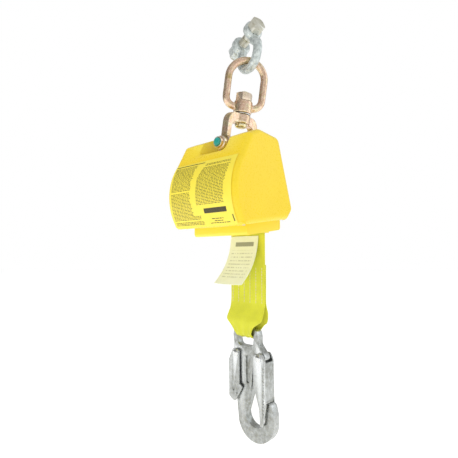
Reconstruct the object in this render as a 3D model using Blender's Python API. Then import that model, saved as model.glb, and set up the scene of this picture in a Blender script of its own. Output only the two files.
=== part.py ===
"""Self-retracting web lifeline: anchor shackle, swivel eye, clevis, housing with its drum, web and snap hook.

All sizes are in millimetres and each mesh is written in metres. Every moving body is built round its own
frame: an empty on the body's joint axis, +Z up. The origin is the centre of the shackle's bolt.
"""
import math

import bmesh
import bpy
from mathutils import Matrix, Vector

METRES = 0.001
GAP = 0.3                  # clearance between pieces that touch or run on each other
ROUND = 28                 # sides of a large round piece
SMALL = 16                 # sides of a small round piece

# Anchor shackle
SHACKLE_YAW = -18.0        # degrees, bolt turned about the vertical
SHACKLE_TILT = -14.0       # degrees, bow swung towards +X
BOW_ROD = 8.8              # rod diameter
BOW_RADIUS = 15.4          # centre line of the round end
BOW_DEPTH = 32.9           # bolt axis to the centre of the rod at the bottom
JAW = 14.4                 # clear width between the ears
EAR_RADIUS = 9.4
EAR_THICK = 8.2
BOLT_RADIUS = 4.75
HEAD_FLATS = 14.6
EAR_TO_FLARE = 10.6        # bolt axis to where the legs start to spread
HEAD_HEIGHT = 6.2
NUT_HEIGHT = 8.4
BOLT_STUB = 4.6            # thread showing beyond the nut
COTTER_WIRE = 0.8

# Swivel eye
CHAIN_LEAN = 9.6           # degrees, eye and clevis lean towards +X at the top
RING_TURN = 52.0           # degrees, plane of the eye about the chain axis
RING_ROD = 7.3
RING_INNER_WIDTH = 29.4
RING_INNER_HEIGHT = 39.5
RING_FOOT_ROUND = 9.5      # centre line of the eye's lower corners
BOSS_RADIUS = 9.3
BOSS_PROUD = 2.5           # boss standing above and below the rod

# Clevis and its swivel stud
CLEVIS_SPAN = 44.8         # outside width over the ears
CLEVIS_LEG = 5.6           # leg thickness
CLEVIS_BAR = 8.0           # leg width
BRIDGE_THICK = 9.0
BRIDGE_TO_PIN = 33.0       # bridge top to the pin axis
CLEVIS_EAR_RADIUS = 9.2
CLEVIS_SHOULDER = 11.0
BRIDGE_FILLET = 7.0
STUD_RADIUS = 4.4
STUD_HEAD_RADIUS = 6.0
STUD_HEAD_HEIGHT = 4.2
SWIVEL_NUT_FLATS = 14.8
SWIVEL_NUT_HEIGHT = 7.4
WASHER_THICK = 1.0
PIN_RADIUS = 4.9
PIN_HEAD_RADIUS = 6.8
PIN_HEAD_HEIGHT = 7.6
PLUG_RADIUS = 3.9
PLUG_PROUD = 2.2
CLIP_RADIUS = 7.4
CLIP_THICK = 1.2
PIN_TAIL = 4.0

# Housing, side profile in Y and Z from the clevis pin
HOUSING_LEFT = -46.5       # left end from the pin
HOUSING_RIGHT = 42.5       # right end from the pin
END_ROUND = 5.5            # rounding of the end faces' edges
WALL = 3.0
LABEL_TOP = (-42.4, -19.5)
LABEL_BOTTOM = (-42.0, -83.5)
LABEL_BULGE = 11.0         # rise of the curved front over its chord
FRONT_SHOULDER = (-31.0, 1.2)
RIDGE = (-16.8, 7.6)
BACK_TOP = (13.0, 5.2)
BACK_BOTTOM = (36.2, -63.5)
BASE_BACK = (27.5, -73.5)
SHOULDER_ROUND = 5.0
RIDGE_ROUND = 8.0
BACK_ROUND = 7.0
BASE_ROUND = 5.0
LABEL_ROUND = 3.0
SLOT_WIDTH = 35.0
SLOT_FLOOR = -12.6         # floor of the clevis recess
SLOT_ROUND = 5.0
COLUMN = 9.0               # corner screw columns inside the shell
COLUMN_HEIGHT = 20.0
LABEL_THICK = 0.5
LABEL_INSET = 4.0

# Base pan with its inset lip
PAN_THICK = 3.0
LIP_DEPTH = 9.5
LIP_LEFT = -34.5
LIP_RIGHT = 34.0
LIP_FRONT = -27.0
LIP_BACK = 24.2
PAN_WALL = 2.4
SCREW_RADIUS = 1.9
SCREW_HEAD_RADIUS = 3.4
SCREW_HEAD_HEIGHT = 1.8
SCREW_LENGTH = 14.0

# Web, drum and line
CENTRE_X = 0.0             # middle of web, drum and frame from the pin
WEB_WIDTH = 44.0
WEB_THICK = 1.2
WEB_Y = 15.0               # web plane behind the pin
DRUM_Y = -7.5
DRUM_Z = -50.0
HUB_RADIUS = 9.0
PACK_RADIUS = 29.0
FLANGE_RADIUS = 30.4
FLANGE_THICK = 1.4
AXLE_RADIUS = 4.6
GUIDE_WALL = 2.0
GUIDE_HEIGHT = 7.0
STRAP_TOP = -86.0
STRAP_BOTTOM = -104.0
TAIL_PLY_TOP = -118.0      # where the folded-back ply ends
LOOP_CENTRE_Z = -185.0     # middle of the hook's eye bar
LOOP_WIDTH = 18.2          # web gathered in the eye
SHOULDER_Z = -173.0
TAG_TOP = -89.0
TAG_SIZE = (36.0, 56.0)
TAG_THICK = 0.8
TAG_SHIFT = -3.0           # tag off the middle of the web
TAG_LEAN = (4.0, 42.0)     # degrees, lean at the top of the tag and how much more it curls forward

# Frame inside the housing
PLATE_THICK = 2.0
PLATE_GAP = 1.0            # drum flange to side plate
BUSH_RADIUS = 7.4
BUSH_LENGTH = 4.4
BUSH_PROUD = 0.6           # bush beyond the plate, towards the drum
YOKE_LUG_WIDTH = 17.0
YOKE_BASE = 3.0
YOKE_HALF = 11.0
RATCHET_RADIUS = 22.0
RATCHET_ROOT = 18.4
RATCHET_TIP = 15.6
RATCHET_TEETH = 9
RATCHET_THICK = 4.0
LINING_THICK = 1.4
CARRIER_RADIUS = 12.6
CARRIER_THICK = 2.0
PAWL_PIVOT = 9.2
PAWL_THICK = 3.4
PAWL_PIN_RADIUS = 1.3
SPRING_CASE_RADIUS = 22.4
SPRING_CASE_DEPTH = 6.0
CASE_WALL = 1.2
SPRING_STRIP = 0.7
SPRING_TURNS = 6
SPRING_INNER = 8.0
SPRING_OUTER = 20.2

# Snap hook, from the middle of its eye bar
HOOK_SIZE = 0.95           # hook against the numbers of its outlines
EYE_HALF = 16.6
EYE_HOLE_HALF = 11.8
EYE_BAR_RADIUS = 3.2
HOOK_THICK = 8.4
CHANNEL_WIDTH = 14.8       # gate and lever over the body
SHEET = 1.6
GATE_PIVOT = (19.5, -24.0)
HORN_RADIUS = 6.2
LEVER_PIVOT = (-10.5, -22.5)
RIVET_RADIUS = 2.2
RIVET_HEAD = 3.5
RIVET_CROWN = 1.4


def clear_scene():
    for item in list(bpy.data.objects):
        bpy.data.objects.remove(item, do_unlink=True)


def material(name, colour, roughness, metallic=0.0):
    made = bpy.data.materials.new(name)
    made.use_nodes = True
    shader = made.node_tree.nodes["Principled BSDF"]
    shader.inputs["Base Color"].default_value = (*colour, 1.0)
    shader.inputs["Roughness"].default_value = roughness
    shader.inputs["Metallic"].default_value = metallic
    return made


def frame(name, place, parent=None):
    """An empty that carries one body; place is its matrix in the world, in millimetres."""
    empty = bpy.data.objects.new(name, None)
    empty.empty_display_size = 0.01
    bpy.context.scene.collection.objects.link(empty)
    world = place.copy()
    world.translation = place.translation * METRES
    if parent is not None:
        empty.parent = parent
        empty.matrix_parent_inverse = parent.matrix_world.inverted()
    empty.matrix_world = world
    bpy.context.view_layer.update()
    return empty


def put(name, shape, body, look=None):
    """Turn a bmesh in millimetres into an object carried by a body's empty; no look makes a cutter."""
    bmesh.ops.recalc_face_normals(shape, faces=shape.faces)
    bmesh.ops.scale(shape, vec=(METRES,) * 3, verts=shape.verts)
    mesh = bpy.data.meshes.new(name)
    shape.to_mesh(mesh)
    shape.free()
    item = bpy.data.objects.new(name, mesh)
    bpy.context.scene.collection.objects.link(item)
    item.parent = body
    if look is None:
        item.hide_render = True
        item.display_type = 'WIRE'
    else:
        mesh.materials.append(look)
        mesh.shade_smooth()
        mesh.set_sharp_from_angle(angle=math.radians(32))
    return item


def combine(item, other, operation):
    step = item.modifiers.new(operation.lower() + "_" + other.name, 'BOOLEAN')
    step.operation = operation
    step.solver = 'EXACT'
    step.object = other


def cut(item, *tools):
    for tool in tools:
        combine(item, tool, 'DIFFERENCE')


def join(item, *tools):
    for tool in tools:
        combine(item, tool, 'UNION')


def axis_matrix(axis):
    """Rotation that carries +Z onto the named axis."""
    turns = {'X': Matrix.Rotation(math.radians(90), 4, 'Y'),
             'Y': Matrix.Rotation(math.radians(-90), 4, 'X'),
             'Z': Matrix.Identity(4)}
    return turns[axis]


def turned(profile, axis='Z', centre=(0, 0, 0), sides=ROUND, phase=0.0):
    """Turn (radius, height) points about an axis; points at radius 0 close the ends, else it is a ring."""
    shape = bmesh.new()
    rings = []
    for radius, height in profile:
        if radius == 0:
            rings.append([shape.verts.new((0, 0, height))])
            continue
        angles = [phase + 2 * math.pi * k / sides for k in range(sides)]
        ring = [(radius * math.cos(a), radius * math.sin(a), height) for a in angles]
        rings.append([shape.verts.new(point) for point in ring])
    pairs = list(zip(rings, rings[1:]))
    if profile[0][0] > 0:
        pairs.append((rings[-1], rings[0]))
    for low, high in pairs:
        for k in range(sides):
            n = (k + 1) % sides
            corners = [low[k % len(low)], low[n % len(low)], high[n % len(high)], high[k % len(high)]]
            corners = [v for i, v in enumerate(corners) if v not in corners[:i]]
            if len(corners) > 2:
                shape.faces.new(corners)
    place = Matrix.Translation(Vector(centre)) @ axis_matrix(axis)
    bmesh.ops.transform(shape, matrix=place, verts=shape.verts)
    return shape


def rod(radius, low, high, axis='Z', centre=(0, 0, 0), sides=SMALL, ease=0.0):
    """A round bar from low to high along an axis through centre, with eased ends."""
    if ease:
        outline = [(0, low), (radius - ease, low), (radius, low + ease),
                   (radius, high - ease), (radius - ease, high), (0, high)]
    else:
        outline = [(0, low), (radius, low), (radius, high), (0, high)]
    return turned(outline, axis, centre, sides)


def tube(outer, inner, low, high, axis='Z', centre=(0, 0, 0), sides=ROUND):
    return turned([(outer, low), (outer, high), (inner, high), (inner, low)], axis, centre, sides)


def prism(points, low, high, plane='YZ'):
    """Extrude an outline; its two coordinates lie in the named plane, low and high along the third axis."""
    build = {'YZ': lambda p, h: (h, p[0], p[1]),
             'XZ': lambda p, h: (p[0], h, p[1]),
             'XY': lambda p, h: (p[0], p[1], h)}[plane]
    shape = bmesh.new()
    first = [shape.verts.new(build(p, low)) for p in points]
    second = [shape.verts.new(build(p, high)) for p in points]
    count = len(points)
    shape.faces.new(first)
    shape.faces.new(list(reversed(second)))
    for k in range(count):
        n = (k + 1) % count
        shape.faces.new([first[n], first[k], second[k], second[n]])
    return shape


def block(low, high):
    corners = [(low[1], low[2]), (high[1], low[2]), (high[1], high[2]), (low[1], high[2])]
    return prism(corners, low[0], high[0])


def filleted(corners, steps=4):
    """Round an outline's corners; each is (a, b, radius), a radius of 0 keeps the point."""
    outline = []
    count = len(corners)
    for k, (a, b, radius) in enumerate(corners):
        here = Vector((a, b))
        if radius == 0:
            outline.append((a, b))
            continue
        back = (Vector(corners[k - 1][:2]) - here).normalized()
        ahead = (Vector(corners[(k + 1) % count][:2]) - here).normalized()
        half = back.angle(ahead) / 2
        middle = here + (back + ahead).normalized() * (radius / math.sin(half))
        start = here + back * (radius / math.tan(half)) - middle
        stop = here + ahead * (radius / math.tan(half)) - middle
        for step in range(steps + 1):
            share = step / steps
            spoke = start.slerp(stop, share)
            outline.append(tuple(middle + spoke.normalized() * radius))
    return outline


def inset(points, distance):
    """Move every edge of a convex outline inwards by a distance."""
    centre = sum((Vector(p) for p in points), Vector((0, 0))) / len(points)
    lines = []
    for k, point in enumerate(points):
        here, after = Vector(point), Vector(points[(k + 1) % len(points)])
        along = (after - here).normalized()
        normal = Vector((-along.y, along.x))
        if normal.dot(centre - here) < 0:
            normal = -normal
        lines.append((here + normal * distance, along))
    moved = []
    for k, (place, along) in enumerate(lines):
        before, run = lines[k - 1]
        span = before - place
        share = (span.x * run.y - span.y * run.x) / (along.x * run.y - along.y * run.x)
        moved.append(tuple(place + along * share))
    return moved


def sweep(points, normal, radius, closed=False, sides=12):
    """A round rod along a path that lies in one plane with the given normal."""
    shape = bmesh.new()
    normal = Vector(normal).normalized()
    path = [Vector(p) for p in points]
    count = len(path)
    rings = []
    for k, here in enumerate(path):
        if closed:
            along = path[(k + 1) % count] - path[k - 1]
        else:
            along = path[min(k + 1, count - 1)] - path[max(k - 1, 0)]
        side = normal.cross(along.normalized())
        angles = [2 * math.pi * s / sides for s in range(sides)]
        spokes = [(math.cos(a), math.sin(a)) for a in angles]
        rings.append([shape.verts.new(here + (side * c + normal * d) * radius) for c, d in spokes])
    pairs = list(zip(rings, rings[1:]))
    if closed:
        pairs.append((rings[-1], rings[0]))
    else:
        shape.faces.new(rings[0])
        shape.faces.new(list(reversed(rings[-1])))
    for low, high in pairs:
        for s in range(sides):
            n = (s + 1) % sides
            shape.faces.new([low[s], low[n], high[n], high[s]])
    return shape


def arc(centre, radius, start, stop, steps):
    """Points on a circle between two angles in degrees, both ends included."""
    angles = [math.radians(start + (stop - start) * k / steps) for k in range(steps + 1)]
    return [(centre[0] + radius * math.cos(a), centre[1] + radius * math.sin(a)) for a in angles]


def hexagon(flats, low, high, axis, ease=0.8, phase=0.0):
    corner = flats / math.sqrt(3)
    outline = [(0, low), (corner - ease, low), (corner, low + ease / 2),
               (corner, high - ease / 2), (corner - ease, high), (0, high)]
    return turned(outline, axis, sides=6, phase=phase)


def ribbon(path, widths, thick, middle_x=0.0):
    """A flat band that follows (y, z) points, its width along X given at each point; a closed solid."""
    shape = bmesh.new()
    rows = []
    count = len(path)
    for k, point in enumerate(path):
        here = Vector(point)
        before, after = Vector(path[max(k - 1, 0)]), Vector(path[min(k + 1, count - 1)])
        along = (after - before).normalized()
        normal = Vector((-along.y, along.x)) * thick / 2
        half = widths[k] / 2
        over, under = here + normal, here - normal
        corners = [(-half, over), (half, over), (half, under), (-half, under)]
        rows.append([shape.verts.new((middle_x + x, p.x, p.y)) for x, p in corners])
    for low, high in zip(rows, rows[1:]):
        for s in range(4):
            n = (s + 1) % 4
            shape.faces.new([low[s], low[n], high[n], high[s]])
    shape.faces.new(rows[0])
    shape.faces.new(list(reversed(rows[-1])))
    return shape


# ---------------------------------------------------------------- looks

def looks():
    return {
        "galvanised": material("galvanised", (0.62, 0.65, 0.64), 0.42, 0.9),
        "bolt_steel": material("bolt_steel", (0.42, 0.42, 0.36), 0.45, 0.9),
        "chromate": material("chromate", (0.80, 0.58, 0.38), 0.30, 0.95),
        "brass_rivet": material("brass_rivet", (0.82, 0.66, 0.36), 0.30, 0.95),
        "plug": material("plug", (0.02, 0.33, 0.29), 0.35),
        "shell": material("shell", (0.93, 0.68, 0.02), 0.32),
        "label": material("label", (0.96, 0.80, 0.07), 0.45),
        "pan": material("pan", (0.90, 0.64, 0.02), 0.40),
        "guide": material("guide", (0.80, 0.60, 0.04), 0.45),
        "steel": material("steel", (0.56, 0.57, 0.58), 0.35, 0.95),
        "lining": material("lining", (0.16, 0.11, 0.08), 0.85),
        "aluminium": material("aluminium", (0.75, 0.76, 0.77), 0.35, 0.9),
        "spring_steel": material("spring_steel", (0.30, 0.33, 0.38), 0.30, 0.95),
        "web": material("web", (0.80, 0.83, 0.05), 0.80),
        "tag": material("tag", (0.80, 0.86, 0.62), 0.70),
        "zinc": material("zinc", (0.60, 0.63, 0.65), 0.28, 0.95),
        "rivet": material("rivet", (0.72, 0.73, 0.74), 0.25, 0.95),
    }


# ---------------------------------------------------------------- frames

CLEVIS_INNER = CLEVIS_SPAN / 2 - CLEVIS_LEG
RING_CENTRE_TO_TOP = (BOW_ROD + RING_ROD) / 2 + GAP
RING_BOTTOM_ROD = RING_INNER_HEIGHT + RING_ROD - RING_CENTRE_TO_TOP
BOSS_LOW = -(RING_BOTTOM_ROD + RING_ROD / 2 + BOSS_PROUD)
BOSS_HIGH = BOSS_LOW + RING_ROD + 2 * BOSS_PROUD
BRIDGE_TOP = BOSS_LOW - WASHER_THICK - 2 * GAP
PIN_BELOW_BOW = -(BRIDGE_TOP - BRIDGE_TO_PIN)
PLATE_INNER = WEB_WIDTH / 2 + GAP + FLANGE_THICK + PLATE_GAP
PLATE_OUTER = PLATE_INNER + PLATE_THICK
BASE_SLOPE = (BASE_BACK[1] - LABEL_BOTTOM[1]) / (BASE_BACK[0] - LABEL_BOTTOM[0])


def base_height(y, below=0.0):
    """Height of the sloping base plane at a depth y, or of a plane parallel to it further down."""
    return LABEL_BOTTOM[1] + (y - LABEL_BOTTOM[0]) * BASE_SLOPE - below


def sized(points):
    """Outline points or corners of the hook at its real size."""
    return [tuple(number * HOOK_SIZE for number in point) for point in points]


def body_frames():
    turn = Matrix.Rotation
    shackle = turn(math.radians(SHACKLE_YAW), 4, 'Z') @ turn(math.radians(SHACKLE_TILT), 4, 'Y')
    lean = turn(math.radians(CHAIN_LEAN), 4, 'Y')
    across = shackle @ Vector((0, 1, 0))
    hang = lean @ Vector((0, 0, -1))
    hang = (hang - across * hang.dot(across)).normalized()
    bow = shackle @ Vector((0, 0, BOW_RADIUS - BOW_DEPTH)) + hang * BOW_RADIUS
    pin = bow + lean @ Vector((0, 0, -PIN_BELOW_BOW))
    places = {"shackle": shackle,
              "ring": Matrix.Translation(bow) @ lean @ turn(math.radians(RING_TURN), 4, 'Z'),
              "clevis": Matrix.Translation(pin) @ lean,
              "housing": Matrix.Translation(pin)}
    gate_x, gate_z = sized([GATE_PIVOT])[0]
    lever_x, lever_z = sized([LEVER_PIVOT])[0]
    offsets = {"drum": (CENTRE_X, DRUM_Y, DRUM_Z),
               "line": (CENTRE_X, WEB_Y, 0.0),
               "hook": (CENTRE_X, WEB_Y, LOOP_CENTRE_Z),
               "gate": (CENTRE_X + gate_x, WEB_Y, LOOP_CENTRE_Z + gate_z),
               "lever": (CENTRE_X + lever_x, WEB_Y, LOOP_CENTRE_Z + lever_z)}
    for name, offset in offsets.items():
        places[name] = Matrix.Translation(pin + Vector(offset))
    parents = {"shackle": None, "ring": "shackle", "clevis": "ring", "housing": "clevis", "drum": "housing",
               "line": "housing", "hook": "line", "gate": "hook", "lever": "hook"}
    frames = {}
    for name, parent in parents.items():
        frames[name] = frame(name + "_axis", places[name], frames.get(parent))
    for letter, side in (("a", 1), ("b", -1)):
        place = places["drum"] @ Matrix.Translation((0, side * PAWL_PIVOT, 0))
        if side < 0:
            place = place @ turn(math.pi, 4, 'X')
        frames["pawl_" + letter] = frame("pawl_" + letter + "_axis", place, frames["drum"])
    return frames


# ---------------------------------------------------------------- anchor shackle

def shackle_parts(body, look):
    leg = (JAW + EAR_THICK) / 2
    centre = (0, -(BOW_DEPTH - BOW_RADIUS))
    bend = arc(centre, BOW_RADIUS, -188, 8, 22)
    inner_leg = JAW / 2 + BOW_ROD / 2 - 0.7
    path = [(-inner_leg, -2), (-inner_leg, -EAR_TO_FLARE)] + bend
    path += [(inner_leg, -EAR_TO_FLARE), (inner_leg, -2)]
    bar = sweep([(x, 0, z) for x, z in path], (0, 1, 0), BOW_ROD / 2)
    bow = put("shackle_bow", bar, body, look["galvanised"])
    for side in (-1, 1):
        low = side * leg - EAR_THICK / 2
        ear = put("ear_shape", rod(EAR_RADIUS, low, low + EAR_THICK, 'X', sides=24, ease=1.0), body)
        join(bow, ear)
    far = JAW / 2 + EAR_THICK
    cut(bow, put("bolt_bore", rod(BOLT_RADIUS + GAP, -far - 9, far + 9, 'X', sides=20), body))
    head = far + GAP
    bolt = [(0, -far - NUT_HEIGHT - BOLT_STUB), (BOLT_RADIUS - 0.8, -far - NUT_HEIGHT - BOLT_STUB),
            (BOLT_RADIUS, -far - NUT_HEIGHT - BOLT_STUB + 0.8), (BOLT_RADIUS, head + 1), (0, head + 1)]
    shank = put("shackle_bolt", turned(bolt, 'X', sides=20), body, look["bolt_steel"])
    join(shank, put("bolt_head_shape", hexagon(HEAD_FLATS, head, head + HEAD_HEIGHT, 'X', phase=0.4), body))
    nut = put("shackle_nut", hexagon(HEAD_FLATS - 0.6, -far - GAP - NUT_HEIGHT, -far - GAP, 'X', phase=0.2),
              body, look["galvanised"])
    cut(nut, put("nut_bore", rod(BOLT_RADIUS + GAP, -far - 12, -far + 2, 'X', sides=20), body))
    cross = -far - NUT_HEIGHT - BOLT_STUB + 2.0
    cut(shank, put("cotter_hole", rod(COTTER_WIRE + GAP, -9, 9, 'Z', (cross, 0, 0), sides=8), body))
    split = [(cross, -8.2), (cross, 5.8)] + arc((cross - 1.6, 6.6), 1.8, -28, 245, 8)
    put("shackle_cotter", sweep([(x, 0, z) for x, z in split], (0, 1, 0), COTTER_WIRE, sides=8),
        body, look["galvanised"])


# ---------------------------------------------------------------- swivel eye

def swivel_eye(body, look):
    half = (RING_INNER_WIDTH + RING_ROD) / 2
    top = RING_CENTRE_TO_TOP
    low = -RING_BOTTOM_ROD
    outline = arc((0, top - half), half, 0, 180, 14)
    foot = RING_FOOT_ROUND
    outline += arc((foot - half, low + foot), foot, 180, 270, 6)
    outline += arc((half - foot, low + foot), foot, 270, 360, 6)
    path = [(x, 0, z) for x, z in outline]
    eye = put("swivel_eye", sweep(path, (0, 1, 0), RING_ROD / 2, closed=True), body, look["chromate"])
    barrel = [(0, BOSS_LOW), (BOSS_RADIUS - 0.8, BOSS_LOW), (BOSS_RADIUS, BOSS_LOW + 0.8),
              (BOSS_RADIUS, BOSS_HIGH - 1.5), (BOSS_RADIUS - 1.5, BOSS_HIGH), (0, BOSS_HIGH)]
    join(eye, put("boss_shape", turned(barrel, sides=24), body))
    cut(eye, put("stud_bore", rod(STUD_RADIUS + GAP, BOSS_LOW - 2, BOSS_HIGH + 4, sides=20), body))


# ---------------------------------------------------------------- clevis

def clevis_parts(body, look):
    top = BRIDGE_TO_PIN
    outer, inner = CLEVIS_SPAN / 2, CLEVIS_INNER
    under_bridge = top - BRIDGE_THICK
    outline = filleted([(-outer, 0, 0), (-outer, top, CLEVIS_SHOULDER), (outer, top, CLEVIS_SHOULDER),
                        (outer, 0, 0), (inner, 0, 0), (inner, under_bridge, BRIDGE_FILLET),
                        (-inner, under_bridge, BRIDGE_FILLET), (-inner, 0, 0)])
    yoke = put("clevis", prism(outline, -CLEVIS_BAR / 2, CLEVIS_BAR / 2), body, look["chromate"])
    easing = yoke.modifiers.new("eased_edges", 'BEVEL')
    easing.width = 1.1 * METRES
    easing.segments = 2
    easing.angle_limit = math.radians(50)
    for side in (-1, 1):
        low = side * (outer + inner) / 2 - CLEVIS_LEG / 2
        ear = rod(CLEVIS_EAR_RADIUS, low, low + CLEVIS_LEG, 'Y', sides=24, ease=0.8)
        join(yoke, put("clevis_ear_shape", ear, body))
    pad = put("bridge_pad_shape", rod(BOSS_RADIUS - 0.4, top - BRIDGE_THICK, top, sides=24, ease=1.0), body)
    join(yoke, pad)
    cut(yoke, put("pin_bore", rod(PIN_RADIUS + GAP, -outer - 3, outer + 3, 'Y', sides=20), body),
        put("bridge_bore", rod(STUD_RADIUS + GAP, top - BRIDGE_THICK - 3, top + 3, sides=20), body))

    rise = PIN_BELOW_BOW
    nut_low = rise + BOSS_HIGH + GAP
    nut_high = nut_low + SWIVEL_NUT_HEIGHT
    under = top - BRIDGE_THICK - GAP
    stud = [(0, under - STUD_HEAD_HEIGHT), (STUD_HEAD_RADIUS - 1.8, under - STUD_HEAD_HEIGHT),
            (STUD_HEAD_RADIUS, under - 1.4), (STUD_HEAD_RADIUS, under), (STUD_RADIUS, under),
            (STUD_RADIUS, nut_high + 0.6), (STUD_RADIUS - 1, nut_high + 1.6), (0, nut_high + 1.6)]
    put("swivel_stud", turned(stud, sides=20), body, look["brass_rivet"])
    nut = put("swivel_nut", hexagon(SWIVEL_NUT_FLATS, nut_low, nut_high, 'Z'), body, look["chromate"])
    cut(nut, put("swivel_nut_bore", rod(STUD_RADIUS + GAP, nut_low - 2, nut_high + 2, sides=20), body))
    washer = tube(BOSS_RADIUS - 0.6, STUD_RADIUS + GAP, top + GAP, top + GAP + WASHER_THICK)
    put("swivel_washer", washer, body, look["steel"])

    head = -outer - GAP
    tail = outer + GAP + CLIP_THICK + PIN_TAIL
    groove = outer + GAP
    core = PIN_RADIUS - 1.0
    groove_end = groove + CLIP_THICK + 2 * GAP
    profile = [(0, head - PIN_HEAD_HEIGHT + 2.0), (PLUG_RADIUS + GAP, head - PIN_HEAD_HEIGHT + 2.0),
               (PLUG_RADIUS + GAP, head - PIN_HEAD_HEIGHT), (PIN_HEAD_RADIUS - 1.6, head - PIN_HEAD_HEIGHT),
               (PIN_HEAD_RADIUS, head - PIN_HEAD_HEIGHT + 3.4), (PIN_HEAD_RADIUS, head), (PIN_RADIUS, head),
               (PIN_RADIUS, groove), (core, groove), (core, groove_end), (PIN_RADIUS, groove_end),
               (PIN_RADIUS, tail - 1), (core, tail), (0, tail)]
    put("clevis_pin", turned(profile, 'Y', sides=24), body, look["chromate"])
    face = head - PIN_HEAD_HEIGHT
    plug = [(0, face - PLUG_PROUD), (PLUG_RADIUS - 1.2, face - PLUG_PROUD), (PLUG_RADIUS, face - 0.8),
            (PLUG_RADIUS, face + 2.0 - GAP), (0, face + 2.0 - GAP)]
    put("pin_plug", turned(plug, 'Y', sides=20), body, look["plug"])
    clip = tube(CLIP_RADIUS, PIN_RADIUS - 1.0 + GAP, groove + GAP, groove + GAP + CLIP_THICK, 'Y')
    put("pin_clip", clip, body, look["steel"])


# ---------------------------------------------------------------- housing

def housing_corners():
    """The shell's side outline with its curved front, rounded corners marked by a radius."""
    top, low = Vector(LABEL_TOP), Vector(LABEL_BOTTOM)
    chord = (low - top).length
    radius = (chord ** 2 / 4 + LABEL_BULGE ** 2) / (2 * LABEL_BULGE)
    middle = (top + low) / 2 + Vector((radius - LABEL_BULGE, 0))
    half = math.degrees(math.asin(chord / 2 / radius))
    front = arc(middle, radius, 180 - half, 180 + half, 10)
    corners = [(*LABEL_TOP, LABEL_ROUND)] + [(y, z, 0) for y, z in front[1:-1]]
    corners += [(*LABEL_BOTTOM, BASE_ROUND), (*BASE_BACK, BASE_ROUND), (*BACK_BOTTOM, BACK_ROUND),
                (*BACK_TOP, BACK_ROUND), (*RIDGE, RIDGE_ROUND), (*FRONT_SHOULDER, SHOULDER_ROUND)]
    return corners, front


def shell_parts(body, look):
    corners, front = housing_corners()
    outer = prism(filleted(corners, 3), HOUSING_LEFT, HOUSING_RIGHT)
    rims = [edge for edge in outer.edges if abs(edge.verts[0].co.x - edge.verts[1].co.x) < 1e-6]
    bmesh.ops.bevel(outer, geom=rims, offset=END_ROUND, segments=3, profile=0.5, affect='EDGES',
                    clamp_overlap=True)
    shell = put("housing_shell", outer, body, look["shell"])
    plain = inset([(a, b) for a, b, _ in corners], WALL)
    front_low, back_low = plain[10], plain[11]
    opening = [(front_low[0], front_low[1] - 15), (back_low[0], back_low[1] - 25)]
    hollow = plain[:11] + opening + plain[11:]
    cavity = put("cavity_shape", prism(hollow, HOUSING_LEFT + WALL, HOUSING_RIGHT - WALL), body)
    half = SLOT_WIDTH / 2
    pocket = block((-half - WALL, -70, SLOT_FLOOR - WALL + 0.6), (half + WALL, 70, 40))
    cut(cavity, put("recess_walls", pocket, body))
    y_low, y_high = front_low[0], back_low[0]
    for x in (HOUSING_LEFT + WALL, HOUSING_RIGHT - WALL - COLUMN):
        for y in (y_low, y_high - COLUMN):
            low = (x - 1, y - 1, base_height(y, 3) + PAN_THICK + 6)
            high = (x + COLUMN + 1, y + COLUMN + 1, base_height(y) + PAN_THICK + COLUMN_HEIGHT)
            cut(cavity, put("column_shape", block(low, high), body))
    cut(shell, cavity)
    round_slot = filleted([(-half, SLOT_FLOOR, SLOT_ROUND), (half, SLOT_FLOOR, SLOT_ROUND), (half, 40, 0),
                           (-half, 40, 0)])
    cut(shell, put("slot_shape", prism(round_slot, -70, 70, 'XZ'), body))
    lug = YOKE_LUG_WIDTH / 2 + GAP
    lug_hole = block((-lug, -CLEVIS_INNER, SLOT_FLOOR - 8), (lug, CLEVIS_INNER, SLOT_FLOOR + 2))
    cut(shell, put("lug_hole", lug_hole, body))
    screws = []
    for x in (HOUSING_LEFT + WALL + COLUMN / 2, HOUSING_RIGHT - WALL - COLUMN / 2):
        for y in (y_low + COLUMN / 2, y_high - COLUMN / 2):
            screws.append((x, y))
    for x, y in screws:
        foot = base_height(y)
        hole = rod(SCREW_RADIUS + GAP, foot - 2, foot + SCREW_LENGTH + 4, 'Z', (x, y, 0), 12)
        cut(shell, put("screw_hole", hole, body))

    rise = LABEL_THICK + GAP
    skin = [(y, z) for y, z in front[1:-1]]
    outside = [(p[0] - rise, p[1]) for p in skin]
    inside = [(p[0] - GAP, p[1]) for p in skin]
    film = prism(outside + inside[::-1], HOUSING_LEFT + LABEL_INSET, HOUSING_RIGHT - LABEL_INSET)
    put("warning_label", film, body, look["label"])
    return (y_low, y_high), screws


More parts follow.
